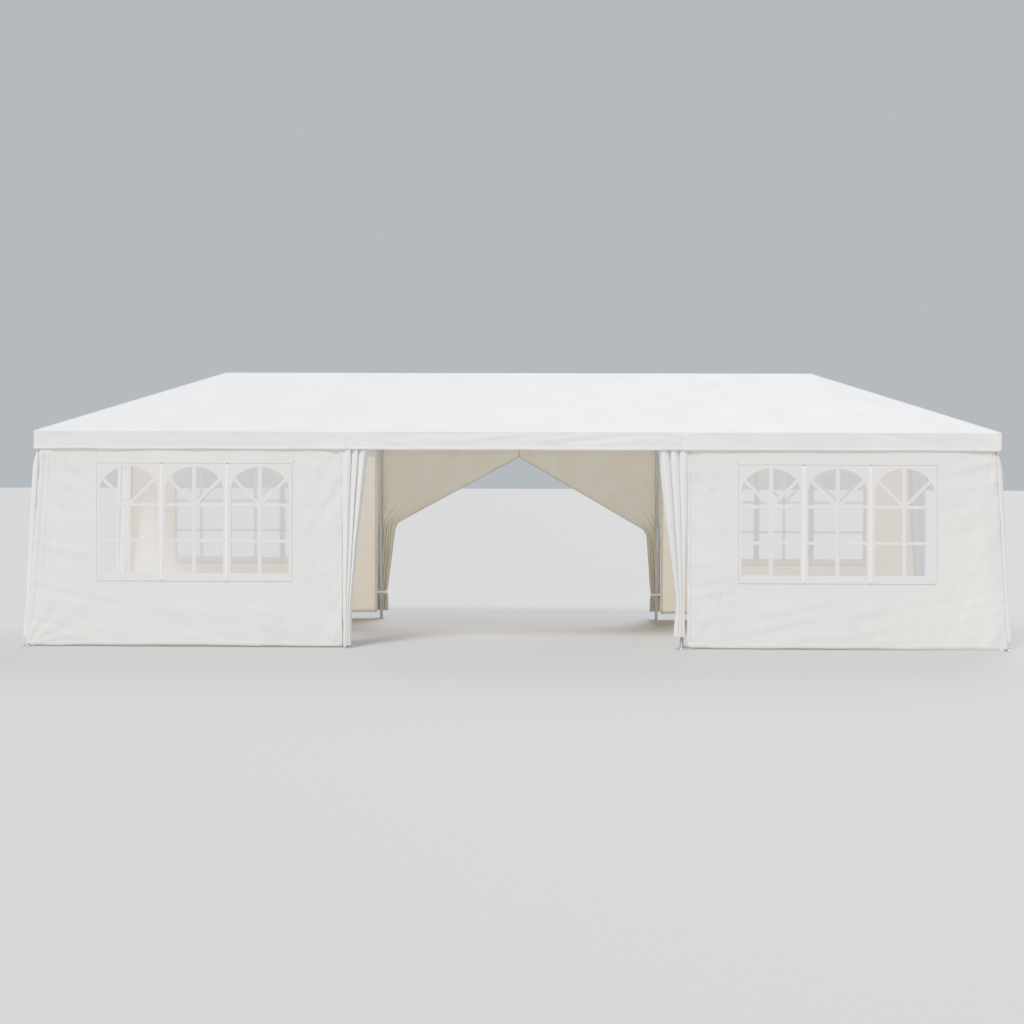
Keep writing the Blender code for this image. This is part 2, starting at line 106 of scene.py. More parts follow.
def soft_noise(x: Array, y: Array, seed: int) -> Array:
    """Smooth value noise with one lattice step to each unit.

    Args:
        x: First coordinate, in lattice steps.
        y: Second coordinate, in lattice steps.
        seed: Seed of the lattice.

    Returns:
        Values from -1 to 1.
    """
    size = 64
    lattice = np.random.default_rng(seed).uniform(-1.0, 1.0, (size, size))
    x, y = np.broadcast_arrays(np.asarray(x, float), np.asarray(y, float))
    column, row = np.floor(x).astype(int), np.floor(y).astype(int)
    u, v = x - column, y - row
    u, v = u * u * (3 - 2 * u), v * v * (3 - 2 * v)
    low = lattice[row % size, column % size] * (1 - u) + lattice[row % size, (column + 1) % size] * u
    row = row + 1
    high = lattice[row % size, column % size] * (1 - u) + lattice[row % size, (column + 1) % size] * u
    return low * (1 - v) + high * v


def streaks(x: Array, y: Array, turn: float, length: float, width: float, seed: int) -> Array:
    """Noise drawn out along one direction, as tension folds are.

    Args:
        x: First coordinate, in metres.
        y: Second coordinate, in metres.
        turn: Direction of the folds in degrees from the first coordinate.
        length: Length of a fold.
        width: Width of a fold.
        seed: Seed of the noise.

    Returns:
        Values from -1 to 1.
    """
    c, s = math.cos(math.radians(turn)), math.sin(math.radians(turn))
    return soft_noise((x * c + y * s) / length + 9.3, (y * c - x * s) / width + 4.7, seed)


def fan(dx: Array, dy: Array, rays: int, reach: float, seed: float) -> Array:
    """Creases that spread from a point where the cloth is held.

    Args:
        dx: First coordinate from the point, in metres.
        dy: Second coordinate from the point.
        rays: Number of creases in a whole turn.
        reach: Distance over which they fade.
        seed: Turns the creases and makes them uneven.

    Returns:
        Values from -1 to 1.
    """
    radius, angle = np.hypot(dx, dy), np.arctan2(dy, dx)
    ray = np.cos(rays * angle + 1.8 * np.sin(3 * angle + seed) + 2 * seed)
    return ray * np.exp(-radius / reach) * settle(radius, reach * 0.22)


def settle(distance: Array, reach: float) -> Array:
    """0 on a support, rising to 1 away from it."""
    return 1 - np.exp(-((distance / reach) ** 2))


def unit(vectors: Array) -> Array:
    """Vectors of length 1 along the given ones."""
    return vectors / np.maximum(np.linalg.norm(vectors, axis=-1, keepdims=True), 1e-9)


def stacked(*parts: Numbers) -> Array:
    """Points from their coordinates, any of which may be a single number."""
    return np.stack(np.broadcast_arrays(*parts), axis=-1)


def paced(start: float, end: float, step: float) -> Array:
    """Even positions from start to end, no further apart than a step."""
    return np.linspace(start, end, max(2, math.ceil(abs(end - start) / step) + 1))


def square_to(way: Vector, axis: Vector) -> Vector:
    """The part of a direction that is square to an axis of length 1, made as long as 1."""
    return (way - axis * way.dot(axis)).normalized()


def whole_turn(count: int) -> Array:
    """Even angles of a whole turn, without its end."""
    return np.arange(count) * (2 * math.pi / count)


def joined(*runs: Array) -> Array:
    """Runs of positions one after another, without the doubled joints."""
    return np.concatenate([runs[0]] + [run[1:] for run in runs[1:]])


def along_stations(heights: Array, stations: Sequence[Sequence[float]], blur: float) -> Array:
    """Values between stations, with the corners at the stations rounded off.

    Args:
        heights: Heights to read at.
        stations: Height and values of each station, lowest first.
        blur: Half the height over which a corner is rounded.

    Returns:
        One row of values for each value of a station.
    """
    levels, *columns = np.array(stations, float).T
    spots = np.array([heights + step for step in np.linspace(-blur, blur, 9)])
    return np.array([np.mean(np.interp(spots, levels, column), axis=0) for column in columns])


def pleats(
    count: int, seed: int, crown: float, steps: int = 24, on_face: bool = False
) -> tuple[Array, Array, Array, Array]:
    """Uneven pleats across a gathered cloth: broad faces with deep hollows that all but close.

    Args:
        count: Number of pleats.
        seed: Seed of their widths and depths.
        crown: Share of the depth that the roundness of a face takes.
        steps: Points to each pleat.
        on_face: Whether the cloth starts and ends on a face rather than in a hollow.

    Returns:
        By point: share of the way across, how far the hollow bulges beyond that, share of the
        depth, and share of the cloth used up.
    """
    rng = np.random.default_rng(seed)
    width = rng.uniform(0.6, 1.4, count)
    depth = rng.uniform(0.8, 1.0, count)
    turn = np.arange(count * steps + 1) / steps
    number = np.minimum(turn.astype(int), count - 1)
    share = turn - number
    start = np.concatenate([[0], np.cumsum(width)])
    nearer, way = np.minimum(share, 1 - share), np.where(share < 0.5, 1, -1)
    wall, face = np.clip(nearer / 0.2, 0, 1), np.clip((nearer - 0.2) / 0.3, 0, 1)
    half = 0.035 * wall + 0.465 * face
    across = (start[number] + width[number] * np.where(share < 0.5, half, 1 - half)) / start[-1]
    bulge = 0.3 * np.sin(math.pi * wall**0.6) * way * width[number] / start[-1]
    lobe = ((1 - crown) * wall + crown * np.sin(math.pi / 2 * face)) * depth[number]
    rows = np.array([across, bulge, lobe, turn / count])
    rows[:, 1:-1] = (rows[:, :-2] + 2 * rows[:, 1:-1] + rows[:, 2:]) / 4
    if on_face:
        rows = rows[:, steps // 2 : -(steps // 2)]
        rows[0] = (rows[0] - rows[0, 0]) / (rows[0, -1] - rows[0, 0])
    return tuple(rows)


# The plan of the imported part


class Named(Enum):
    """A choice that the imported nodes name."""

    @property
    def label(self) -> str:
        """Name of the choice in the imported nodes."""
        return self.name.lower()


class Side(Named):
    """A side of the marquee: the world axis that it faces along, and the sign."""

    FRONT = (1, -1)
    BACK = (1, 1)
    LEFT = (0, -1)
    RIGHT = (0, 1)

    def points(self, along: Array, across: Array, height: Array) -> Array:
        """World points from their coordinates beside this side.

        Args:
            along: World X for a long side, world Y for an end.
            across: World Y for a long side, world X for an end.
            height: Height above the ground.

        Returns:
            Points, with their coordinates in the last axis.
        """
        return stacked(along, across, height) if self.value[0] == 1 else stacked(across, along, height)


class End(Named):
    """An end of the marquee, as the sign of its X."""

    LEFT = -1
    RIGHT = 1


LONG_SIDES = (Side.FRONT, Side.BACK)


@dataclass(frozen=True)
class Plan:
    """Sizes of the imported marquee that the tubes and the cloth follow."""

    span: float = 2.93
    outer_bay: float = 2.895
    half_centre_bay: float = 1.57
    hip_run: float = 1.435
    eave: float = 2.03
    ridge: float = 2.66
    foot_along: float = 0.13
    foot_across: float = 0.04
    tube: float = 0.019
    socket: float = 0.0223
    bore: float = 0.0193
    socket_mouth: float = 0.13
    socket_depth: float = 0.072
    sheet_offset: float = 0.0226
    cover: float = 0.003
    valance_standoff: float = 0.06
    valance_depth: float = 0.165
    seam: float = 0.05

    @property
    def half_span(self) -> float:
        """Half the distance between the long sides' tube axes."""
        return self.span / 2

    @property
    def half_length(self) -> float:
        """Half the distance between the ends' tube axes."""
        return self.half_centre_bay + self.outer_bay

    @property
    def ridge_half(self) -> float:
        """Half the ridge's length."""
        return self.half_length - self.hip_run

    @property
    def seam_at(self) -> float:
        """Distance from the middle of a long side to the seam where its outer wall starts."""
        return self.half_centre_bay + self.seam

    def lean(self, side: Side, height: Numbers) -> Numbers:
        """How far a side's legs stand outside their tops at a height."""
        foot = self.foot_across if side.value[0] == 1 else self.foot_along
        return foot * (self.eave - height) / self.eave

    def place(self, side: Side, along: Array, height: Array, out: Numbers) -> Array:
        """World points on a side's leaning sheet.

        Args:
            side: Side that the sheet closes.
            along: World X on a long side, world Y on an end.
            height: Height above the ground.
            out: Distance outside the sheet's inner face.

        Returns:
            Points, with their coordinates in the last axis.
        """
        axis, sign = side.value
        half = self.half_span if axis == 1 else self.half_length
        return side.points(along, sign * (half + self.lean(side, height) + self.sheet_offset + out), height)

    def outward(self, side: Side) -> Array:
        """Unit vector out of a side."""
        return np.insert(np.zeros(2), *side.value)

    def joints(self) -> dict[str, Vector]:
        """Centres of the connectors and the feet.

        Returns:
            Points by name.
        """
        points = {}
        for end in End:
            points[f"ridge_end_{end.label}"] = Vector((end.value * self.ridge_half, 0, self.ridge))
            points[f"ridge_middle_{end.label}"] = Vector((end.value * self.half_centre_bay, 0, self.ridge))
            for side in LONG_SIDES:
                y = side.value[1] * self.half_span
                foot_y = y + side.value[1] * self.foot_across
                name = f"{side.label}_{end.label}"
                for kind, x, spread in (
                    ("corner", self.half_length, self.foot_along),
                    ("side", self.half_centre_bay, 0.0),
                ):
                    points[f"{kind}_{name}"] = Vector((end.value * x, y, self.eave))
                    points[f"foot_{kind}_{name}"] = Vector((end.value * (x + spread), foot_y, 0))
        return points


PLAN = Plan()


# Finishes


class Finish:
    """What a surface is made of: the name and slot of its material, and the nodes of its look."""

    name: str
    slot: str

    def material(self) -> bpy.types.Material:
        """Finds the material, or makes it the first time.

        Returns:
            The material.
        """
        found = bpy.data.materials.get(self.name)
        if found:
            return found
        made = bpy.data.materials.new(self.name)
        made.use_nodes = True
        made.node_tree.nodes.clear()
        node = partial(add_node, made.node_tree)
        spot = node("ShaderNodeTexCoord").outputs["Object"]
        node("ShaderNodeOutputMaterial", {"Surface": self.surface(node, spot)})
        return made

    def surface(self, node: AddNode, spot: Socket) -> Socket:
        """Adds the nodes of the look.

        Args:
            node: Adds a node to the material.
            spot: Socket of the place on the piece, in metres.

        Returns:
            The socket of the whole surface.
        """
        raise NotImplementedError


@dataclass(frozen=True)
class WovenSheet(Finish):
    """Polyethylene tarpaulin: woven from flat tapes, then coated on both faces.

    The coating gives a satin face with soft highlights, and the thin sheet glows a little where
    the light stands behind it.
    """

    name: str
    slot: str
    face: str
    shade: str
    glow: str
    openness: float
    tape_mm: float = 2.6
    cloud_mm: float = 260.0
    crumple_mm: float = 55.0
    soil: str = "#CDC6B6"
    soil_height: float = 0.16

    def surface(self, node: AddNode, spot: Socket) -> Socket:
        """Adds the weave, the soft patches, the crumples, the soil at the foot and the glow.

        Args:
            node: Adds a node to the material.
            spot: Socket of the place on the piece, in metres.

        Returns:
            The socket of the whole surface.
        """
        cloth = node("ShaderNodeUVMap", uv_map=CLOTH_MAP).outputs["UV"]
        # A wave texture repeats every 2 pi / 20 units at scale 1, so this is one tape to a wave.
        # Its tapes keep their real width, which shows close up and not in the whole view, as in the photo.
        tapes = {"Vector": cloth, "Scale": 2 * math.pi / (20 * self.tape_mm / 1000), "Distortion": 0.0}
        warp, weft = (
            node("ShaderNodeTexWave", tapes, bands_direction=way).outputs["Fac"] for way in ("X", "Y")
        )
        weave = node("ShaderNodeMath", {0: warp, 1: weft}, operation="MULTIPLY").outputs[0]
        cloud, crumple = (
            node(
                "ShaderNodeTexNoise",
                {"Vector": spot, "Scale": 1000 / size_mm, "Detail": detail, "Roughness": 0.55},
            ).outputs["Fac"]
            for size_mm, detail in ((self.cloud_mm, 3.0), (self.crumple_mm, 4.0))
        )
        blotch = node("ShaderNodeMapRange", {"Value": cloud, "From Min": 0.4, "From Max": 0.65}).outputs[0]
        plain = {0: blotch, 6: linear(self.face), 7: linear(self.shade)}
        base = node("ShaderNodeMix", plain, data_type="RGBA").outputs[2]
        up = node("ShaderNodeSeparateXYZ", {0: spot}).outputs["Z"]
        fade = {"Value": up, "From Max": self.soil_height, "To Min": 0.55, "To Max": 0.0}
        low = node("ShaderNodeMapRange", fade).outputs[0]
        splash = node("ShaderNodeMath", {0: low, 1: crumple}, operation="MULTIPLY").outputs[0]
        dirt = {0: splash, 6: base, 7: linear(self.soil)}
        soiled = node("ShaderNodeMix", dirt, data_type="RGBA").outputs[2]
        satin = {"Value": cloud, "From Min": 0.3, "From Max": 0.7, "To Min": 0.46, "To Max": 0.6}
        rough = node("ShaderNodeMapRange", satin).outputs[0]
        dents = {"Height": crumple, "Strength": 0.42, "Distance": 0.011}
        creased = node("ShaderNodeBump", dents).outputs[0]
        tape_edges = {"Height": weave, "Strength": 0.35, "Distance": 0.0003, "Normal": creased}
        woven = node("ShaderNodeBump", tape_edges).outputs[0]
        coating = {"Base Color": soiled, "Roughness": rough, "IOR": 1.5, "Normal": woven}
        front = node("ShaderNodeBsdfPrincipled", coating).outputs[0]
        lit_through = {"Color": linear(self.glow), "Normal": creased}
        through = node("ShaderNodeBsdfTranslucent", lit_through).outputs[0]
        return node("ShaderNodeMixShader", {0: self.openness, 1: front, 2: through}).outputs[0]


@dataclass(frozen=True)
class ClearVinyl(Finish):
    """Clear PVC window film, calendered: almost invisible, with soft reflections in its waves."""

    name: str = "calendered_clear_vinyl"
    slot: str = "clear_film"
    face: str = "#F4F6F6"
    alpha: float = 0.16
    wave_mm: float = 120.0

    def surface(self, node: AddNode, spot: Socket) -> Socket:
        """Adds the waves and the haze of the clear film.

        Args:
            node: Adds a node to the material.
            spot: Socket of the place on the piece, in metres.

        Returns:
            The socket of the whole surface.
        """
        waves = {"Vector": spot, "Scale": 1000 / self.wave_mm, "Detail": 1.0}
        wave = node("ShaderNodeTexNoise", waves).outputs["Fac"]
        bump = node("ShaderNodeBump", {"Height": wave, "Strength": 0.35, "Distance": 0.004}).outputs[0]
        haze = node("ShaderNodeMapRange", {"Value": wave, "To Min": 0.03, "To Max": 0.12}).outputs[0]
        film = {"Base Color": linear(self.face), "Roughness": haze, "IOR": 1.53, "Alpha": self.alpha}
        return node("ShaderNodeBsdfPrincipled", {**film, "Normal": bump}).outputs[0]


@dataclass(frozen=True)
class ZincSteel(Finish):
    """Galvanised steel tube, drawn then dipped: pale spangles under a dull sheen."""

    name: str = "galvanised_drawn_steel"
    slot: str = "galvanised_steel"
    face: str = "#A9AEB2"
    shade: str = "#858B90"
    spangle_mm: float = 7.0
    draw_mm: float = 1.2

    def surface(self, node: AddNode, spot: Socket) -> Socket:
        """Adds the spangles and the fine marks of drawing.

        Args:
            node: Adds a node to the material.
            spot: Socket of the place on the piece, in metres.

        Returns:
            The socket of the whole surface.
        """
        cells = node("ShaderNodeTexVoronoi", {"Vector": spot, "Scale": 1000 / self.spangle_mm})
        grey = node("ShaderNodeSeparateColor", {0: cells.outputs["Color"]}).outputs[0]
        spangles = {0: grey, 6: linear(self.face), 7: linear(self.shade)}
        tone = node("ShaderNodeMix", spangles, data_type="RGBA").outputs[2]
        rough = node("ShaderNodeMapRange", {"Value": grey, "To Min": 0.3, "To Max": 0.46}).outputs[0]
        marks = {"Vector": spot, "Scale": 1000 / self.draw_mm, "Detail": 2.0}
        drawn = node("ShaderNodeTexNoise", marks).outputs["Fac"]
        bump = node("ShaderNodeBump", {"Height": drawn, "Strength": 0.12, "Distance": 0.0002}).outputs[0]
        metal = {"Base Color": tone, "Metallic": 1.0, "Roughness": rough, "Normal": bump}
        return node("ShaderNodeBsdfPrincipled", metal).outputs[0]


@dataclass(frozen=True)
class Dyed(Finish):
    """A dull dyed or painted surface with a fine grain, such as thread, webbing, tape or floor paint."""

    name: str
    slot: str
    face: str
    shade: str
    grain_mm: float
    roughness: float = 0.7
    relief: float = 0.3

    def surface(self, node: AddNode, spot: Socket) -> Socket:
        """Adds the grain.

        Args:
            node: Adds a node to the material.
            spot: Socket of the place on the piece, in metres.

        Returns:
            The socket of the whole surface.
        """
        specks = {"Vector": spot, "Scale": 1000 / self.grain_mm, "Detail": 3.0}
        grain = node("ShaderNodeTexNoise", specks).outputs["Fac"]
        dye = {0: grain, 6: linear(self.face), 7: linear(self.shade)}
        tone = node("ShaderNodeMix", dye, data_type="RGBA").outputs[2]
        fuzz = {"Height": grain, "Strength": self.relief, "Distance": self.grain_mm / 4000}
        bump = node("ShaderNodeBump", fuzz).outputs[0]
        dull = {"Base Color": tone, "Roughness": self.roughness, "Normal": bump}
        return node("ShaderNodeBsdfPrincipled", dull).outputs[0]


WALL = "wall_tarpaulin"
# Near white; the cool blue-grey of its patches is painted sky reflection and painted shade of shallow sag
# pockets, with some soil
ROOF_SHEET = WovenSheet(
    "woven_polyethylene_roof", "roof_tarpaulin", "#EFF1F2", "#DFE3E9", "#E0BE82", 0.13, cloud_mm=420.0
)
# A touch greyer and warmer than the roof, and thin enough to glow cream from inside
WALL_SHEET = WovenSheet("woven_polyethylene_wall", WALL, "#F2F2EF", "#E9E9E7", "#E8CE8A", 0.31)
# The same cloth as the walls, given a darker khaki face and a weak glow: painted shade for the drawn halves,
# which hang in the tent's own shade
SHADED_DOOR_SHEET = WovenSheet("woven_polyethylene_door", WALL, "#D5D3C1", "#CDCBB5", "#C1AB66", 0.035)
# Gathered cloth lies several layers deep, so less light comes through it
LAYERED_SHEET = WovenSheet("layered_polyethylene_wall", WALL, "#F0F0EF", "#EAEAE9", "#F0EDE6", 0.2)
# Welded vinyl frame of the windows: smoother than the walls, and a shade greyer
WINDOW_FRAME = WovenSheet(
    "welded_vinyl_frame", WALL, "#EDEDEC", "#E8E8E7", "#F0E8DA", 0.34, crumple_mm=180.0
)
# Calendered vinyl and galvanised drawn steel, as their classes say
CLEAR = ClearVinyl()
STEEL = ZincSteel()
# Woven polyester tape: a dull, slightly yellow white beside the coated sheets
TAPE = Dyed("woven_polyester_tape", WALL, "#F4F3F0", "#EAE9E4", 3.0)
# Seam thread, dark partly from dust and partly as painted shade of the shadow in its holes and the seam's
# gap: it draws the fine dark line round each window
THREAD_AND_SHADE = Dyed("sewn_polyester_thread", WALL, "#57534D", "#423F3A", 2.0)
# Coil of a nylon zip: a dull khaki that reads as one dark line where the zip is closed
ZIP_COIL = Dyed("wound_nylon_zip_coil", WALL, "#8F8775", "#7A7262", 3.0, 0.5)
# Rolled paint on a screed: a soft even grey that shows no glare
FLOOR_PAINT = Dyed("rolled_floor_paint", "", "#8B8986", "#878583", 40.0, 0.85, 0.05)


# Meshes

BAND_PROFILE = ((-0.5, 0.0), (-0.46, 0.5), (0.46, 0.5), (0.5, 0.0), (0.46, -0.5), (-0.46, -0.5))
PIPING_PROFILE = ((-0.5, 0.0), (-0.42, 0.4), (-0.24, 0.85), (0.0, 1.0), (0.24, 0.85), (0.42, 0.4), (0.5, 0.0))


class MeshPile:
    """Collects the grids and faces of one piece, then makes its mesh."""

    def __init__(self) -> None:
        """Starts with nothing in it."""
        self.points: list[Array] = []
        self.maps: list[Array] = []
        self.faces: list[list[int]] = []
        self.count = 0

    def add_grid(
        self,
        points: Array,
        maps: Array,
        keep: Array | None = None,
        wrap_rows: bool = False,
        wrap_columns: bool = False,
    ) -> Array:
        """Adds a grid of quads.

        Args:
            points: Points by row and column.
            maps: Map coordinates in metres, by row and column.
            keep: Which cells to keep; all of them if left out.
            wrap_rows: Whether the last row meets the first.
            wrap_columns: Whether the last column meets the first.

        Returns:
            The points' numbers in the piece, by row and column.
        """
        rows, columns = points.shape[:2]
        numbers = np.arange(rows * columns).reshape(rows, columns) + self.count
        grid = np.hstack([numbers, numbers[:, :1]]) if wrap_columns else numbers
        grid = np.vstack([grid, grid[:1]]) if wrap_rows else grid
        cells = np.stack([grid[:-1, :-1], grid[:-1, 1:], grid[1:, 1:], grid[1:, :-1]], axis=-1)
        cells = cells.reshape(-1, 4) if keep is None else cells[keep]
        self.points.append(points.reshape(-1, 3))
        self.maps.append(maps.reshape(-1, 2))
        self.faces += cells.tolist()
        self.count += rows * columns
        return numbers

    def add_band(
        self,
        centre: Array,
        across: Array,
        out: Array,
        width: Numbers,
        thickness: float,
        closed: bool = False,
        profile: Profile = BAND_PROFILE,
    ) -> None:
        """Adds a solid band along a path.

        Args:
            centre: Points of the path.
            across: Unit vectors across the band.
            out: Unit vectors out of its face.
            width: Width of the band, or one for each point.
            thickness: Thickness of the band.
            closed: Whether the path is a loop.
            profile: Outline of the band, in widths and thicknesses.
        """
        shape = np.array(profile)
        sideways = (np.asarray(width) * np.ones(len(centre)))[:, None] * shape[None, :, 0]
        points = (
            centre[:, None, :]
            + across[:, None, :] * sideways[..., None]
            + out[:, None, :] * (shape[None, :, 1, None] * thickness)
        )
        travel = np.concatenate([[0], np.cumsum(np.linalg.norm(np.diff(centre, axis=0), axis=1))])
        maps = stacked(travel[:, None], sideways)
        numbers = self.add_grid(points, maps, wrap_rows=closed, wrap_columns=True)
        if not closed:
            self.faces += [numbers[0][::-1].tolist(), numbers[-1].tolist()]

    def add_turned(self, start: Vector, end: Vector, profile: Profile, sides: int = 32) -> None:
        """Adds a closed solid turned about a line.

        Args:
            start: Point where the profile's distances start.
            end: A further point on the line.
            profile: Radius and distance of each ring.
            sides: Sides of each ring.
        """
        axis = (end - start).normalized()
        first = axis.orthogonal().normalized()
        second = axis.cross(first)
        turn = whole_turn(sides)
        ring = np.outer(np.cos(turn), first) + np.outer(np.sin(turn), second)
        radius, distance = np.array(profile, float).T
        points = (
            np.array(start)
            + distance[:, None, None] * np.array(axis)
            + radius[:, None, None] * ring[None, :, :]
        )
        maps = stacked(turn[None, :] * PLAN.tube, distance[:, None])
        numbers = self.add_grid(points, maps, wrap_columns=True)
        self.faces += [numbers[0][::-1].tolist(), numbers[-1].tolist()]

    def piece(
        self,
        name: str,
        finish: Finish,
        stands_for: Sequence[str] = (),
        weld: float = 0.0,
        sharp: float | None = None,
        solid: bool = False,
    ) -> bpy.types.Object:
        """Makes the piece and lets it ride with the marquee.

        Args:
            name: Name of the piece.
            finish: What its surface is made of.
            stands_for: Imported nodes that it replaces.
            weld: Distance below which points are joined; 0 joins none.
            sharp: Angle in degrees from which edges stay sharp.
            solid: Whether the faces close a solid and have to point out of it.

        Returns:
            The object.
        """
        points, maps = np.vstack(self.points), np.vstack(self.maps)
        faces, corners = self.faces, self.faces
        if weld:
            spots = np.round(points / weld).astype(np.int64)
            _, first, back = np.unique(spots, axis=0, return_index=True, return_inverse=True)
            back = back.reshape(-1)
            points = points[first]
            faces, corners = [], []
            for face in self.faces:
                kept = [c for i, c in enumerate(face) if back[c] != back[face[i - 1]]]
                if len(kept) > 2:
                    corners.append(kept)
                    faces.append([int(back[c]) for c in kept])
        mesh = bpy.data.meshes.new(name)
        mesh.from_pydata(points.tolist(), [], faces)
        layer = mesh.uv_layers.new(name=CLOTH_MAP)
        order = np.concatenate([np.asarray(c) for c in corners])
        layer.data.foreach_set("uv", maps[order].astype(np.float32).ravel())
        mesh.validate()
        if solid:
            bm = bmesh.new()
            bm.from_mesh(mesh)
            bmesh.ops.recalc_face_normals(bm, faces=bm.faces)
            bm.to_mesh(mesh)
            bm.free()
        mesh.shade_smooth()
        if sharp:
            mesh.set_sharp_from_angle(angle=math.radians(sharp))
        mesh.materials.append(finish.material())
        made = bpy.data.objects.new(name, mesh)
        bpy.context.scene.collection.objects.link(made)
        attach(made, ROOT)
        if stands_for:
            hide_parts(*stands_for)
        log.info("%s: %d faces", name, len(mesh.polygons))
        return made


def add_loop_strap(
    pile: MeshPile, centre: Vector, axis: Vector, radii: tuple[float, float], width: float, thickness: float
) -> None:
    """Adds a strap that goes once round a tube or a bundle.

    Args:
        pile: Pile that takes the strap.
        centre: Centre of the loop.
        axis: Direction of what it goes round.
        radii: Radii of the loop along X (or Y, for a tube along X) and across it.
        width: Width of the strap along the axis.
        thickness: Thickness of the strap.
    """
    axis = axis.normalized()
    first = square_to(Vector((1, 0, 0)) if abs(axis.x) < 0.7 else Vector((0, 1, 0)), axis)
    second = axis.cross(first)
    turn = whole_turn(28)
    ring = np.outer(np.cos(turn) * radii[0], first) + np.outer(np.sin(turn) * radii[1], second)
    out = unit(np.outer(np.cos(turn) / radii[0], first) + np.outer(np.sin(turn) / radii[1], second))
    across = np.broadcast_to(np.array(axis), ring.shape)
    pile.add_band(np.array(centre) + ring, across, out, width, thickness, closed=True)


# The steel frame


@dataclass
class TubeFrame:
    """The slip-together steel frame: tubes, welded connectors, jointed legs and ground plates."""

    hub_radius: float = 0.0235
    closed_depth: float = 0.02
    seat_gap: float = 0.0003
    edge: float = 0.0008
    button_radius: float = 0.0042
    button_rise: float = 0.0032
    button_root: float = 0.002
    button_sink: float = 0.0004
    button_at: float = 0.104
    sleeve_height: float = 0.97
    sleeve_length: float = 0.07
    sleeve_wall: float = 0.0025
    plate: float = 0.1
    plate_thickness: float = 0.005
    plate_corner: float = 0.014
    peg_hole: float = 0.006
    peg_inset: float = 0.018
    collar_rise: float = 0.006

    def build(self) -> None:
        """Builds every steel piece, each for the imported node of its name."""
        points = PLAN.joints()
        sides, ends = [side.label for side in LONG_SIDES], [end.label for end in End]
        hubs = []
        for end, other in (ends, ends[::-1]):
            outer, middle = points[f"ridge_end_{end}"], points[f"ridge_middle_{end}"]
            hips = [points[f"corner_{side}_{end}"] for side in sides]
            rafters = [points[f"side_{side}_{end}"] for side in sides]
            hubs += [(outer, [middle], hips), (middle, [outer, points[f"ridge_middle_{other}"]], rafters)]
        self.run("ridge_pole", (points["ridge_end_left"], points["ridge_end_right"]), hubs)
        for side in sides:
            corners = [points[f"corner_{side}_{end}"] for end in ends]
            hubs = []
            for end in ends:
                opened = [points[f"ridge_middle_{end}"], points[f"foot_side_{side}_{end}"]]
                hubs.append((points[f"side_{side}_{end}"], corners, opened))
            self.run(f"eave_rail_{side}", self.seated(*corners), hubs)
        for end in ends:
            corners = [points[f"corner_{side}_{end}"] for side in sides]
            self.run(f"eave_rail_{end}", self.seated(*corners))
            for side, corner, opposite in zip(sides, corners, corners[::-1]):
                place = f"{side}_{end}"
                peak, beside = points[f"ridge_end_{end}"], points[f"side_{place}"]
                opened = [beside, opposite, peak, points[f"foot_corner_{place}"]]
                self.run(f"corner_connector_{place}", None, [(corner, [], opened)])
                self.run(f"hip_rafter_{place}", self.seated(corner, peak))
                self.run(f"rafter_{place}", self.seated(beside, points[f"ridge_middle_{end}"]))
                for kind in ("corner", "side"):
                    self.leg(f"{kind}_{place}", points[f"{kind}_{place}"], points[f"foot_{kind}_{place}"])

    def seated(self, first: Vector, last: Vector) -> tuple[Vector, Vector]:
        """Ends of a tube that is pushed home in the sockets of two connectors."""
        step = (last - first).normalized() * (PLAN.socket_mouth - PLAN.socket_depth + self.seat_gap)
        return first + step, last - step

    def add_tube(self, pile: MeshPile, start: Vector, end: Vector) -> None:
        """Adds a plain tube with deburred ends.

        Args:
            pile: Pile that takes the tube.
            start: One end of its axis.
            end: The other end.
        """
        length, radius, edge = (end - start).length, PLAN.tube, self.edge
        profile = [(radius - edge, 0), (radius, edge), (radius, length - edge), (radius - edge, length)]
        pile.add_turned(start, end, profile)

    def add_button(self, pile: MeshPile, seat: Vector, out: Vector) -> None:
        """Adds a spring button that stands out of a tube.

        Args:
            pile: Pile that takes the button.
            seat: Its middle on the tube.
            out: Direction that it stands out in.
        """
        dome = ((1, 0.4), (0.86, 0.75), (0.5, 0.96), (0.1, 1))
        profile = [(self.button_radius * wide, self.button_rise * high) for wide, high in dome]
        profile.insert(0, (self.button_radius, -self.button_root))
        pile.add_turned(seat, seat + out, profile, sides=14)

    def add_arm(self, pile: MeshPile, centre: Vector, target: Vector, is_open: bool) -> None:
        """Adds one arm of a connector.

        Args:
            pile: Pile that takes the arm.
            centre: Centre of the connector.
            target: Point that the arm points to.
            is_open: Whether a separate tube slips into it, held by a button.
        """
        along = (target - centre).normalized()
        mouth, radius = PLAN.socket_mouth, PLAN.socket
        floor = mouth - (PLAN.socket_depth if is_open else self.closed_depth)
        profile = [
            (radius, radius / 4),
            (radius, mouth - self.edge),
            (radius - self.edge, mouth),
            (PLAN.bore + self.edge, mouth),
            (PLAN.bore, mouth - self.edge),
            (PLAN.bore, floor),
        ]
        pile.add_turned(centre, target, profile)
        if is_open:
            inside = Vector((0, -centre.y, 0)) if abs(centre.y) > 0.1 else Vector((0, 0, -1))
            inside = square_to(inside, along)
            seat = centre + along * self.button_at + inside * (radius - self.button_sink)
            self.add_button(pile, seat, inside)

    def add_hub(
        self, pile: MeshPile, centre: Vector, closed: Sequence[Vector], opened: Sequence[Vector]
    ) -> None:
        """Adds a welded connector: a rounded middle with its arms.

        Args:
            pile: Pile that takes the connector.
            centre: Centre of the connector.
            closed: Targets of the arms round a tube that runs on.
            opened: Targets of the open sockets.
        """
        turn = np.linspace(0.12, math.pi - 0.12, 15)
        profile = [(self.hub_radius * math.sin(t), -self.hub_radius * math.cos(t)) for t in turn]
        pile.add_turned(centre, centre + Vector((0, 0, 1)), profile)
        for target in closed:
            self.add_arm(pile, centre, target, False)
        for target in opened:
            self.add_arm(pile, centre, target, True)

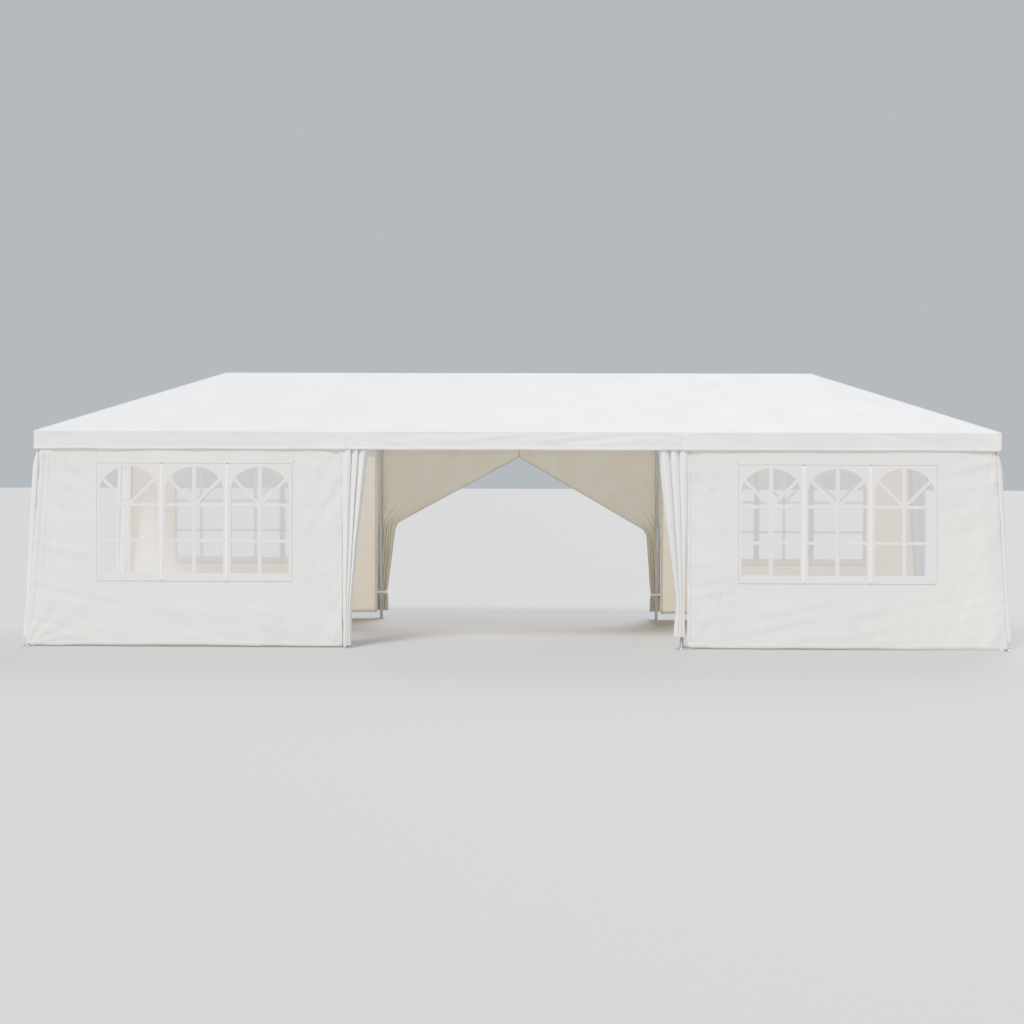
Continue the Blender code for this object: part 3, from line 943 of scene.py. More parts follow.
    def run(self, name: str, tube: tuple[Vector, Vector] | None, hubs: Sequence[tuple] = ()) -> None:
        """Builds a straight run of tube with the connectors on it, or a connector alone.

        Args:
            name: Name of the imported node.
            tube: Both ends of the tube, if there is one.
            hubs: Centre, closed arms and open sockets of each connector.
        """
        pile = MeshPile()
        if tube:
            self.add_tube(pile, *tube)
        for hub in hubs:
            self.add_hub(pile, *hub)
        self.finished(pile, name)

    def finished(self, pile: MeshPile, name: str) -> None:
        """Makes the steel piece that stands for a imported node."""
        pile.piece(f"steel_{name}", STEEL, [name], sharp=40, solid=True)

    def leg(self, place: str, top: Vector, foot: Vector) -> None:
        """Builds a leg of two tubes with its joint sleeve, button, weld collar and ground plate.

        Args:
            place: Kind, side and end of the leg.
            top: Centre of the connector over it.
            foot: Point on the ground under it.
        """
        pile = MeshPile()
        upper, _ = self.seated(top, foot)
        stretch = (top - foot).length / top.z
        start = foot + (top - foot) * (self.plate_thickness / 2 / top.z)
        length, radius, edge = (upper - start).length, PLAN.tube, self.edge
        low = self.sleeve_height * stretch - self.sleeve_length / 2
        high, sleeve = low + self.sleeve_length, radius + self.sleeve_wall
        # The weld collar, the swage under the sleeve, the sleeve, the swage over it and the tube's end
        profile = [
            (radius + 0.005, 0),
            (radius + 0.0045, self.plate_thickness * 0.6),
            (radius + 0.001, self.collar_rise),
            (radius, self.collar_rise + 0.002),
            (radius, low - 0.004),
            (radius + 0.0006, low - 0.001),
            (sleeve - edge, low),
            (sleeve, low + edge),
            (sleeve, high - edge),
            (sleeve - edge, high),
            (radius + 0.0006, high + 0.0004),
            (radius, high + 0.002),
            (radius, length - edge),
            (radius - edge, length),
        ]
        pile.add_turned(start, upper, profile)
        along = (upper - start).normalized()
        inside = square_to(Vector((0, -math.copysign(1, foot.y), 0)), along)
        seat = start + along * (low + self.sleeve_length * 0.62) + inside * (sleeve - self.button_sink)
        self.add_button(pile, seat, inside)
        self.add_plate(pile, foot)
        self.finished(pile, f"leg_{place}")

    def add_plate(self, pile: MeshPile, foot: Vector) -> None:
        """Adds the square ground plate with rounded corners and its peg hole.

        Args:
            pile: Pile that takes the plate.
            foot: Centre of the plate on the ground.
        """
        half, corner = self.plate / 2, self.plate_corner
        reach = half - self.peg_inset
        hole = np.array([math.copysign(reach, foot.x), math.copysign(reach, foot.y)])
        turn = whole_turn(64)
        ray = stacked(np.cos(turn), np.sin(turn))

        def outline(inset: float) -> Array:
            """Where the rays from the hole meet the plate's rounded outline.

            Args:
                inset: Distance inside the outline.

            Returns:
                Points in the plane of the plate.
            """
            low, high = np.zeros(len(turn)), np.full(len(turn), 2 * self.plate)
            for _ in range(40):
                middle = (low + high) / 2
                spot = np.abs(hole + ray * middle[:, None]) - (half - corner)
                edge = np.linalg.norm(np.maximum(spot, 0), axis=1) + np.minimum(spot.max(axis=1), 0)
                inside = edge < corner - inset
                low, high = np.where(inside, middle, low), np.where(inside, high, middle)
            return hole + ray * low[:, None]

        rings = [
            (hole + ray * self.peg_hole, 0.0),
            (outline(0.0004), 0.0),
            (outline(0), self.edge),
            (outline(0), self.plate_thickness - self.edge),
            (outline(self.edge), self.plate_thickness),
            (hole + ray * (self.peg_hole + self.edge / 2), self.plate_thickness),
            (hole + ray * self.peg_hole, self.plate_thickness - self.edge / 2),
        ]
        points = np.array([stacked(ring[:, 0] + foot.x, ring[:, 1] + foot.y, z) for ring, z in rings])
        pile.add_grid(points, points[..., :2], wrap_rows=True, wrap_columns=True)


# The roof


@dataclass
class RoofCover:
    """The roof cover: four sagging slopes, the valance all round, its hem and its seams."""

    sag: float = 0.014
    sag_reach: float = 0.3
    column: float = 0.022
    row_count: int = 40
    fold_radius: float = 0.007
    hem_width: float = 0.022
    hem_gauge: float = 0.0022
    seam_width: float = 0.024
    hip_seam_width: float = 0.016
    seam_gauge: float = 0.0018
    seam_lift: float = 0.0006
    centre_seam: float = 0.05
    side_run: float = 1.66
    end_run: float = 1.62

    def __post_init__(self) -> None:
        """Works out the cover's outer corners from the plan."""
        rise = PLAN.ridge - PLAN.eave
        side_tan, end_tan = rise / PLAN.half_span, rise / PLAN.hip_run
        lift = PLAN.sheet_offset * math.hypot(1, side_tan)
        end_lift = PLAN.sheet_offset * math.hypot(1, end_tan)
        head = PLAN.eave + lift - PLAN.valance_standoff * side_tan
        top = PLAN.ridge + lift
        self.ridge_half = PLAN.half_length - (top - PLAN.eave - end_lift) / end_tan
        self.edge_x = PLAN.half_length - (head - PLAN.eave - end_lift) / end_tan + PLAN.cover
        self.edge_y = PLAN.half_span + PLAN.valance_standoff + PLAN.cover
        self.top = top + PLAN.cover * math.hypot(1, side_tan)
        self.head = head + PLAN.cover * 0.8
        self.foot = head - PLAN.valance_depth

    def relief(self, x: Array, y: Array) -> Array:
        """How far the cover stands above its flat slopes; sag counts as negative.

        Args:
            x: World X.
            y: World Y.

        Returns:
            Height above the slope, 0 on the ridge, hips and eaves.
        """
        ax, ay = np.abs(x), np.abs(y)
        ridge = np.where(ax < self.ridge_half, ay, np.hypot(ay, ax - self.ridge_half))
        hip = np.abs((PLAN.half_length - ax) - (PLAN.half_span - ay) * PLAN.hip_run / PLAN.half_span)
        hip = hip / math.hypot(1, PLAN.hip_run / PLAN.half_span)
        hip_at = (self.edge_x - self.ridge_half) * (1 - np.clip((self.edge_y - ay) / self.edge_y, 0, 1))
        is_end = ax - self.ridge_half > hip_at
        eave = np.where(is_end, self.edge_x - ax, self.edge_y - ay)
        rafter = np.where(is_end, 1.0, np.abs(ax - PLAN.half_centre_bay))
        # The cloth sags between the tubes that hold it, unevenly
        hold = settle(ridge, 0.16) * settle(hip, 0.16) * settle(eave, 0.12)
        drop = self.sag * hold * (0.25 + 0.75 * settle(rafter, self.sag_reach))
        drop = drop * (1 + 0.35 * soft_noise(x / 0.8 + 3, y / 0.5, 11))
        # Shallow tension folds run slantwise over the slopes, and a few along them
        folds = 0.004 * streaks(x, y, 24, 1.1, 0.13, 12) + 0.0035 * streaks(x, -y, 38, 0.9, 0.11, 13)
        folds = folds + 0.002 * streaks(x, y, 4, 1.6, 0.1, 14)
        folds = folds * settle(ridge, 0.05) * settle(hip, 0.05) * settle(eave, 0.03)
        # Creases spread from the tops of the legs
        down = self.edge_y - ay
        fans = fan(ax - PLAN.half_centre_bay, down, 14, 0.24, 1.0)
        fans = fans + fan(ax - self.edge_x, down, 18, 0.34, 2.0)
        height = folds + 0.006 * fans * settle(down, 0.03) * settle(hip, 0.06) - drop
        # The cloth can't sink into the tubes that it lies on
        rail = np.abs(eave - PLAN.valance_standoff - PLAN.cover)
        tube = np.minimum(np.minimum(rail, rafter), np.minimum(ridge, hip))
        return np.maximum(height, -0.35 * np.maximum(tube - 0.03, 0))

    def reach(self, side: Side) -> tuple[float, float]:
        """Half the length of a side's eave, and its distance from the middle of the tent."""
        return (self.edge_x, self.edge_y) if side in LONG_SIDES else (self.edge_y, self.edge_x)

    def ripple(self, side: Side, along: Array) -> Array:
        """How far the foot of the valance stands above its level line."""
        return 0.0022 * soft_noise(along / 0.37, along * 0, 50 + side.value[0])

    def hang(self, side: Side, along: Array, down: Array) -> Array:
        """How far the valance stands out of its flat plane.

        Args:
            side: Side that it hangs on.
            along: Distance along the side from its middle.
            down: Distance below the eave fold.

        Returns:
            Distance outward, 0 at the corners.
        """
        seed = 31 + 7 * side.value[1] + side.value[0]
        share = down / PLAN.valance_depth
        wave = 0.005 * soft_noise(along / 0.42, share * 0.7, seed) * (0.3 + share)
        wave = wave + 0.0035 * streaks(along, down, 12, 0.5, 0.045, seed + 1)
        middle = settle(np.maximum(PLAN.half_centre_bay - np.abs(along), 0), 0.4)
        if side in LONG_SIDES:
            # Over the open bay it bellies out
            slack = 0.006 * np.sin(math.pi * np.clip(share * 1.3, 0, 1)) * middle
            wave = wave + slack * (0.5 + 1.2 * streaks(along, down, -7, 0.8, 0.05, seed + 2))
            post = np.abs(along) - PLAN.half_centre_bay
            # The gathered cloth and the leg behind it leave soft upright ridges and a hollow
            ridges = ((0.034, 0.012, 0.018), (-0.05, 0.006, 0.024), (-0.005, -0.005, 0.016))
            for offset, rise, width in ridges:
                spot = (post - offset) / width
                wave = wave + rise * np.exp(-(spot**2)) * (0.45 + 0.55 * share)
            wave = wave + 0.006 * fan(post, down - 0.02, 16, 0.13, 3.0 + seed)
            # Over the window walls it lies closer
            over_wall = settle(np.maximum(post - 0.09, 0), 0.15)
            wave = wave - (0.4 * np.maximum(wave, 0) + 0.011 * share) * over_wall
        return wave * settle(self.reach(side)[0] - np.abs(along), 0.08) * settle(down, 0.012)

    def build(self) -> None:
        """Builds the cover as one sheet, with its seams and hem as pieces on it."""
        pile = MeshPile()
        tight = np.array([0.0, 0.002, 0.005, 0.011])
        slope = np.concatenate([tight, np.linspace(0.022, 0.982, self.row_count), [0.991, 0.996, 1.0]])
        drops = joined(np.array([0.0, 0.003, 0.008, 0.016]), paced(0.016, self.head - self.foot, 0.014))
        knee = self.ridge_half + 0.6
        wing = joined(paced(self.edge_x, knee, 0.024), paced(knee, self.ridge_half, 0.03))
        near_hip = self.edge_x - np.array([0.0, 0.003, 0.008, 0.015])
        wing = np.concatenate([near_hip, wing[1:]])
        centre = paced(-self.ridge_half, self.ridge_half, self.column)
        long_edge = joined(-wing, centre, wing[::-1])
        corner = np.array([0, 0.003, 0.008])
        inner = np.linspace(-self.edge_y + 0.02, self.edge_y - 0.02, 118)
        short_edge = np.concatenate([-self.edge_y + corner, inner, self.edge_y - corner[::-1]])
        for side in Side:
            axis, sign = side.value
            is_long = side in LONG_SIDES
            edge = long_edge if is_long else short_edge
            head = np.clip(edge, -self.ridge_half, self.ridge_half) if is_long else edge * 0
            share = slope[::-1][:, None]
            along = edge[None, :] * (1 - share) + head[None, :] * share
            reach = self.reach(side)[1]
            crest = 0.0 if is_long else self.ridge_half
            across = sign * (reach * (1 - share) + crest * share) * np.ones_like(along)
            sheet = side.points(along, across, self.head * (1 - share) + self.top * share)
            sheet[..., 2] += self.relief(sheet[..., 0], sheet[..., 1])
            line, down = np.broadcast_arrays(edge[None, :], drops[1:][:, None])
            tuck = self.fold_radius * (1 - np.exp(-down / self.fold_radius))
            distance = sign * (reach + self.hang(side, line, down) - tuck * 0.12)
            ripple = self.ripple(side, line) * down / PLAN.valance_depth
            skirt = side.points(line, distance, self.head - down + ripple)
            grid = np.concatenate([sheet, skirt], axis=0)
            run = np.concatenate([(1 - slope[::-1]) * self.side_run, self.side_run + drops[1:]])
            pile.add_grid(grid, stacked(grid[..., 1 - axis], run[:, None]))
        cover = pile.piece("roof_sheet", ROOF_SHEET, ["roof_cover"], weld=0.0002)
        trims = [self.build_hem(), self.build_seams()]
        skirt = 4 * (self.edge_x + self.edge_y) * PLAN.valance_depth

    def build_hem(self) -> bpy.types.Object:
        """Builds the doubled hem along the foot of the valance.

        Returns:
            The hem.
        """
        pile = MeshPile()
        for side in Side:
            half, reach = self.reach(side)
            along = paced(-half + 0.001, half - 0.001, 0.03)
            down = np.full(len(along), PLAN.valance_depth - self.hem_width / 2)
            distance = side.value[1] * (reach + self.hang(side, along, down) + 0.0004)
            centre = side.points(along, distance, self.head - down + self.ripple(side, along) - 0.001)
            up, out = (np.broadcast_to(way, centre.shape) for way in (UP, PLAN.outward(side)))
            pile.add_band(centre, up, out, self.hem_width, self.hem_gauge)
        return pile.piece("valance_hem", ROOF_SHEET, solid=True)

    def surface(self, x: Array, y: Array) -> Array:
        """Points of the cover's slopes over a place on the ground.

        Args:
            x: World X.
            y: World Y.

        Returns:
            Points on the cover.
        """
        rise = self.top - self.head
        side = self.head + rise * (1 - np.abs(y) / self.edge_y)
        end = self.head + rise * (self.edge_x - np.abs(x)) / (self.edge_x - self.ridge_half)
        return stacked(x, y, np.minimum(side, end) + self.relief(x, y))

    def build_seams(self) -> bpy.types.Object:
        """Builds the welded centre seam and the sewn hip seams.

        Returns:
            The seams.
        """
        pile = MeshPile()
        sweep = paced(-self.edge_y + 0.004, self.edge_y - 0.004, 0.03)
        lines = [(np.full_like(sweep, self.centre_seam), sweep, self.seam_width)]
        share = paced(0.003, 0.995, 0.02)
        for end in End:
            for side in LONG_SIDES:
                x = end.value * (self.edge_x + (self.ridge_half - self.edge_x) * share)
                lines.append((x, side.value[1] * self.edge_y * (1 - share), self.hip_seam_width))
        for x, y, width in lines:
            centre = self.surface(x, y) + UP * self.seam_lift
            tangent = unit(np.gradient(centre, axis=0))
            across = unit(np.cross(UP, tangent))
            pile.add_band(centre, across, unit(np.cross(tangent, across)), width, self.seam_gauge)
        return pile.piece("roof_seams", ROOF_SHEET, solid=True)


# The walls


@dataclass
class WindowWall:
    """A window wall of a long side: sheet, welded window frame, bars, film, ribs, hems and ties."""

    side: Side
    end: End
    seed: int
    hem: float
    corner_folds: float = 1.0
    panel_width: float = 1.86
    panel_height: float = 1.12
    panel_sill: float = 0.615
    light_count: int = 3
    light_width: float = 0.55
    light_height: float = 1.0
    light_sill: float = 0.08
    arch_rise: float = 0.22
    upright_bar: float = 0.037
    level_bar: float = 0.028
    level_bar_heights: tuple[float, float] = (0.303, 0.641)
    ray_length: float = 0.28
    rib_width: float = 0.034
    rib_rise: float = 0.007
    overlap: float = 0.02
    frame_lift: float = 0.0016
    frame_gauge: float = 0.0012
    film_lift: float = -0.0014
    hem_width: float = 0.035
    hem_gauge: float = 0.003
    hem_lift: float = 0.0012
    return_width: float = 0.022
    edge_band: float = 0.028
    panel_seam: float = 0.014
    bar_gauge: float = 0.0008
    thread_gauge: float = 0.0008
    rail_ties: int = 6
    rail_tie_pitch: float = 0.48
    first_rail_tie: float = 0.28
    leg_tie_heights: tuple[float, ...] = (0.09, 0.62, 1.35)
    seam_tie_height: float = 0.98
    corner_fold_pitch: float = 0.056
    head_room: float = 0.017
    head_room_from: float = 1.862

    @property
    def name(self) -> str:
        """Side and end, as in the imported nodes."""
        return f"{self.side.label}_{self.end.label}"

    @property
    def middle(self) -> float:
        """Distance of the panel's middle from the middle of the side."""
        return PLAN.half_centre_bay + PLAN.outer_bay / 2

    @property
    def panel_top(self) -> float:
        """Height of the panel's upper edge."""
        return self.panel_sill + self.panel_height

    @property
    def light_pitch(self) -> float:
        """Distance from one light to the next."""
        return self.panel_width / self.light_count

    @property
    def rib_places(self) -> list[float]:
        """Distances of the ribs from the middle of the side."""
        return [self.middle - self.panel_width / 2 + i * self.light_pitch for i in range(1, self.light_count)]

    @property
    def light_middles(self) -> list[float]:
        """Distances of the lights' middles from the middle of the side."""
        steps = [i - (self.light_count - 1) / 2 for i in range(self.light_count)]
        return [self.middle + step * self.light_pitch for step in steps]

    def leg_at(self, height: Numbers) -> Numbers:
        """Distance of the corner leg's axis from the middle of the side."""
        return PLAN.half_length + PLAN.lean(Side.LEFT, height)

    def outer_edge(self, height: Numbers) -> Numbers:
        """Distance along the cloth to its outer edge, past the turn round the corner leg."""
        return self.leg_at(height) + PLAN.sheet_offset * math.pi / 2 + self.return_width

    def foot_wave(self, reach: Array) -> Array:
        """How far the foot of the wall stands above its level line."""
        return 0.004 * soft_noise(reach / 0.33, reach * 0, self.seed + 8)

    def facing(self, reach: Array, height: Array) -> Array:
        """Directions out of the cloth, which turns through a right angle round the corner leg.

        Args:
            reach: Distance from the middle of the side.
            height: Height above the ground.

        Returns:
            Unit vectors.
        """
        turn = np.clip((reach - self.leg_at(height)) / PLAN.sheet_offset, 0, math.pi / 2)[..., None]
        end = np.array([self.end.value, 0.0, 0.0])
        return np.cos(turn) * PLAN.outward(self.side) + np.sin(turn) * end

    def relief(self, reach: Array, height: Array) -> Array:
        """How far the sheet stands outside its flat plane.

        Args:
            reach: Distance from the middle of the side.
            height: Height above the ground.

        Returns:
            Distance outward, never below 0.
        """
        reach, height = np.broadcast_arrays(np.asarray(reach, float), np.asarray(height, float))
        seed = self.seed
        billow = 0.008 * (1 + soft_noise(reach / 0.9, height / 0.75, seed))
        beside = np.maximum(np.abs(reach - self.middle) - self.panel_width / 2, 0)
        above = np.maximum(self.panel_sill - height, height - self.panel_sill - self.panel_height)
        free = settle(np.hypot(beside, np.maximum(above, 0)), 0.13)
        to_leg, to_seam = self.leg_at(height) - reach, reach - PLAN.seam_at
        # Tension runs slantwise from the leg and from the seam, and faintly along and up the sheet
        by_leg, by_seam = np.exp(-np.maximum(to_leg, 0) / 0.5), np.exp(-to_seam / 0.45)
        creases = 0.01 * streaks(reach, height, 62, 0.8, 0.075, seed + 1) * by_leg
        creases = creases + 0.01 * streaks(reach, height, -58, 0.7, 0.07, seed + 2) * by_seam
        creases = creases + 0.005 * streaks(reach, height, 12, 0.9, 0.06, seed + 3)
        creases = creases + 0.0035 * streaks(reach, height, 80, 0.5, 0.045, seed + 9)
        # Upright folds beside the corner leg
        folds = 0.5 - 0.5 * np.cos(2 * math.pi * to_leg / self.corner_fold_pitch)
        folds = (0.003 + 0.013 * height / PLAN.eave) * folds * np.exp(-((to_leg / 0.12) ** 2))
        folds = folds * self.corner_folds
        # Small ripples run down the seam
        ripple = 0.004 * soft_noise(height / 0.12, reach * 0, seed + 4) * np.exp(-to_seam / 0.05)
        # Near its foot the sheet stands out in slow waves
        scallop = 0.009 * soft_noise(reach / 0.2, height * 0, seed + 5)
        scallop = scallop * np.exp(-np.maximum(height - self.hem, 0) / 0.14)
        dent = 0.002 * soft_noise(reach / 0.06, height / 0.06, seed + 6)
        # Small upright folds hang from the rail
        under_rail = 0.005 * soft_noise(reach / 0.085, height * 0, seed + 7)
        under_rail = under_rail * np.exp(-np.maximum(PLAN.eave - height, 0) / 0.22)
        # Creases spread from the four corners that hold the wall, and from a tie at the seam
        up, below = height - self.hem, PLAN.eave - height
        fans = fan(to_leg, up, 16, 0.32, seed) + 0.8 * fan(to_seam, up, 14, 0.26, seed + 1)
        fans = fans + 0.8 * fan(to_leg, below, 14, 0.25, seed + 2)
        fans = fans + 0.8 * fan(to_seam, below, 16, 0.3, seed + 3)
        at_tie = fan(to_seam, height - self.seam_tie_height, 9, 0.07, seed + 4)
        fans = 0.009 * self.corner_folds * fans + 0.008 * at_tie
        loose = creases + ripple + scallop + dent + under_rail + fans
        # The valance leaves little room over the head of the wall
        room = self.head_room + 0.35 * np.maximum(self.head_room_from - height, 0)
        stand = np.clip(billow + free * loose + folds, 0, room)
        return stand * np.clip(1 + to_leg / 0.02, 0, 1)

    def at(self, reach: Numbers, height: Numbers, lift: Numbers) -> Array:
        """World points on the wall.

        Args:
            reach: Distance from the middle of the side.
            height: Height above the ground.
            lift: Distance outside the sheet.

        Returns:
            Points, with their coordinates in the last axis.
        """
        reach, height = np.broadcast_arrays(np.asarray(reach, float), np.asarray(height, float))
        leg, radius = self.leg_at(height), PLAN.sheet_offset
        axis = PLAN.place(self.side, self.end.value * np.minimum(reach, leg), height, -radius)
        out = self.facing(reach, height)
        past = np.maximum(reach - leg - radius * math.pi / 2, 0)[..., None]
        lift = (self.relief(reach, height) + lift + radius)[..., None]
        return axis + out * lift - PLAN.outward(self.side) * past

    def lay(
        self,
        pile: MeshPile,
        reach: Numbers,
        height: Numbers,
        width: float,
        thickness: float,
        lift: float,
        profile: Profile = BAND_PROFILE,
    ) -> None:
        """Lays a band on the sheet.

        Args:
            pile: Pile that takes the band.
            reach: Distances of its points from the middle of the side, or one for all.
            height: Heights of its points, or one for all.
            width: Width of the band.
            thickness: Thickness of the band.
            lift: Distance of its middle outside the sheet.
            profile: Outline of the band.
        """
        reach, height = np.broadcast_arrays(np.asarray(reach, float), np.asarray(height, float))
        centre = self.at(reach, height, lift)
        tangent = unit(np.gradient(centre, axis=0))
        out = self.facing(reach, height)
        across = unit(np.cross(out, tangent))
        pile.add_band(centre, across, out, width, thickness, profile=profile)

    def stitch(
        self,
        pile: MeshPile,
        start: tuple[float, float],
        end: tuple[float, float],
        lift: float,
        stitch_length: float = 0.014,
        gap: float = 0.005,
        width: float = 0.0024,
    ) -> None:
        """Sews a straight row of stitches, drawn coarser than real thread so that it shows.

        Args:
            pile: Pile that takes the stitches.
            start: Distance from the middle of the side and height of the first stitch.
            end: The same for the last one.
            lift: Height of the thread outside the sheet.
            stitch_length: Length of one stitch.
            gap: Gap between two stitches.
            width: Width of the thread.
        """
        a, b = np.array(start), np.array(end)
        length = float(np.linalg.norm(b - a))
        for i in range(int(length / (stitch_length + gap))):
            share = (np.array([0.0, 1.0]) * stitch_length + i * (stitch_length + gap)) / length
            line = a[None, :] + (b - a)[None, :] * share[:, None]
            self.lay(pile, line[:, 0], line[:, 1], width, self.thread_gauge, lift)

    def build(self) -> None:
        """Builds the wall."""
        cloth = self.build_sheet()
        panel, ribs = self.build_frame(), self.build_ribs()
        film = self.build_film()
        trims = [self.build_hems(), self.build_stitches(), self.build_ties()]
        f"eave_rail_{self.side.label}"
        bars = self.upright_bar * self.light_height
        bars += self.level_bar * (2 * self.light_width + 2 * self.ray_length)
        cloth.name
        panel.name

    def build_sheet(self) -> bpy.types.Object:
        """Builds the wall's cloth, with a hole behind the window frame.

        Returns:
            The cloth.
        """
        half = self.panel_width / 2 - self.overlap
        left, right = self.middle - half, self.middle + half
        low, high = self.panel_sill + self.overlap, self.panel_top - self.overlap
        inner = joined(paced(PLAN.seam_at, left, 0.02), paced(left, right, 0.03))
        share = paced(0, 1, 0.019)
        heights = joined(paced(self.hem, low, 0.022), paced(low, high, 0.028), paced(high, PLAN.eave, 0.016))
        outer = self.outer_edge(heights)[:, None]
        wing = right + (outer - right) * share[None, 1:]
        reach = np.hstack([np.broadcast_to(inner[None, :], (len(heights), len(inner))), wing])
        height = np.broadcast_to(heights[:, None], reach.shape)
        points = self.at(reach, height, 0.0)
        points[..., 2] += self.foot_wave(reach) * np.exp(-(height - self.hem) / 0.1)
        cell_x = (reach[:-1, :-1] + reach[:-1, 1:]) / 2
        cell_z = (height[:-1, :-1] + height[1:, :-1]) / 2
        keep = (cell_x < left) | (cell_x > right) | (cell_z < low) | (cell_z > high)
        pile = MeshPile()
        pile.add_grid(points, stacked(reach, height), keep)
        name = f"wall_{self.name}"
        return pile.piece(f"{name}_cloth", WALL_SHEET, [name])

    def build_frame(self) -> bpy.types.Object:
        """Builds the welded frame with its arched openings.

        Returns:
            The frame.
        """
        half, spring = self.light_width / 2, self.light_height - self.arch_rise
        outer_half = self.light_pitch / 2
        quarter = np.linspace(0, math.pi / 4, 12)
        crown = np.linspace(math.pi / 4, 3 * math.pi / 4, 25)
        sill = np.linspace(-1, 1, 21)
        jamb = stacked(half, np.linspace(0, spring, 25))
        arc, top = (
            stacked(half * np.cos(turn), spring + self.arch_rise * np.sin(turn)) for turn in (quarter, crown)
        )
        right = np.vstack([jamb, arc[1:]])
        opening = (stacked(sill * half, 0.0), right, top, right[::-1] * [-1, 1])
        low, high = -self.light_sill, self.panel_height - self.light_sill
        up = low + (high - low) * np.linspace(0, 1, len(right))
        outline = (
            stacked(sill * outer_half, low),
            stacked(outer_half, up),
            stacked(np.linspace(outer_half, -outer_half, 25), high),
            stacked(-outer_half, up[::-1]),
        )
        opening, outline = (np.vstack([run[:-1] for run in runs]) for runs in (opening, outline))
        # From the opening's edge over the front face to the outer edge, and back behind
        shares = np.array([0.0, 0.03, 0.2, 0.5, 1.0, 1.0, 0.5, 0.0])
        lift = self.frame_lift + self.frame_gauge * np.array([0.2, 0.5, 0.5, 0.5, 0.5, -0.5, -0.5, -0.5])
        pile = MeshPile()
        for middle in self.light_middles:
            spots = opening + (outline - opening) * shares[:, None, None]
            reach = spots[..., 0] + middle
            height = spots[..., 1] + self.panel_sill + self.light_sill
            points = self.at(reach, height, lift[:, None])
            pile.add_grid(points, stacked(reach, height), wrap_rows=True, wrap_columns=True)
        self.add_bars(pile)
        return pile.piece(f"window_frame_{self.name}", WINDOW_FRAME, sharp=40, solid=True)

    def add_bars(self, pile: MeshPile) -> None:
        """Adds the glazing bars of each light: upright, levels and sunburst.

        Args:
            pile: Pile that takes the bars.
        """
        half, rise, tuck = self.light_width / 2, self.arch_rise, 0.012
        spring, hub = self.light_height - rise, self.level_bar_heights[1]
        base = self.panel_sill + self.light_sill
        # Where a line at 45 degrees from the hub meets the arch's ellipse
        a = 1 / half**2 + 1 / rise**2
        b = 2 * (hub - spring) / rise**2
        c = (hub - spring) ** 2 / rise**2 - 1
        tip = (-b + math.sqrt(b * b - 4 * a * c)) / (2 * a) + tuck
        gauge = self.bar_gauge
        up = paced(-tuck, self.light_height + tuck, 0.04)
        across = paced(-half - tuck, half + tuck, 0.04)
        ray = paced(0, tip, 0.03)
        for middle in self.light_middles:
            self.lay(pile, middle, base + up, self.upright_bar, gauge, 0.0006)
            for level in self.level_bar_heights:
                self.lay(pile, middle + across, base + level, self.level_bar, gauge, 0.0003)
            for way in (-1, 1):
                self.lay(pile, middle + way * ray, base + hub + ray, self.level_bar, gauge, 0.0)

    def build_ribs(self) -> bpy.types.Object:
        """Builds the raised ribs between the lights.

        Returns:
            The ribs.
        """
        pile = MeshPile()
        up = paced(self.panel_sill + 0.003, self.panel_top - 0.02, 0.03)
        for reach in self.rib_places:
            self.lay(pile, reach, up, self.rib_width, self.rib_rise, self.frame_lift, PIPING_PROFILE)
        return pile.piece(f"window_ribs_{self.name}", TAPE, solid=True)

    def build_film(self) -> bpy.types.Object:
        """Builds the clear film behind the frame.

        Returns:
            The film.
        """
        inset = self.overlap / 2
        half = self.panel_width / 2 - inset
        reach = paced(self.middle - half, self.middle + half, 0.04)
        height = paced(self.panel_sill + inset, self.panel_top - inset, 0.04)
        reach, height = np.meshgrid(reach, height)
        wave = 0.0006 * (soft_noise(reach / 0.16, height / 0.2, self.seed + 9) - 1)
        pile = MeshPile()
        pile.add_grid(self.at(reach, height, self.film_lift + wave), stacked(reach, height))
        return pile.piece(f"window_clear_{self.name}", CLEAR, [f"window_film_{self.name}"])

    def build_hems(self) -> bpy.types.Object:
        """Builds the foot hem, the edge bands and the seams over the window.

        Returns:
            The hems.
        """
        pile = MeshPile()
        low = self.hem + self.hem_width / 2
        reach = paced(PLAN.seam_at, self.outer_edge(low), 0.03)
        foot = low + self.foot_wave(reach)
        self.lay(pile, reach, foot, self.hem_width, self.hem_gauge, self.hem_lift)
        up = paced(self.hem + 0.004, PLAN.eave - 0.002, 0.03)
        for reach in (PLAN.seam_at + self.edge_band / 2, self.outer_edge(up) - self.edge_band / 2):
            self.lay(pile, reach, up, self.edge_band, self.hem_gauge, self.hem_lift)
        over = paced(self.panel_top, PLAN.eave - 0.004, 0.03)
        for way in (-1, 1):
            edge = self.middle + way * (self.panel_width / 2 + 0.004)
            self.lay(pile, edge, over, self.panel_seam, self.panel_seam / 10, self.hem_lift / 2)
        return pile.piece(f"wall_{self.name}_hems", WALL_SHEET, solid=True)

    def build_stitches(self) -> bpy.types.Object:
        """Builds the stitching round the window, on the hems and beside the corner leg, and the eyelets over
        the ribs; their dark thread is partly painted shade.

        Returns:
            The stitches.
        """
        pile = MeshPile()
        inset = 0.005
        half, low, high = self.panel_width / 2 - inset, self.panel_sill + inset, self.panel_top - inset
        left, right = self.middle - half, self.middle + half
        lift = self.frame_lift + 0.0008
        corners = ((left, low), (right, low), (right, high), (left, high))
        for start, end in zip(corners, corners[1:] + corners[:1]):
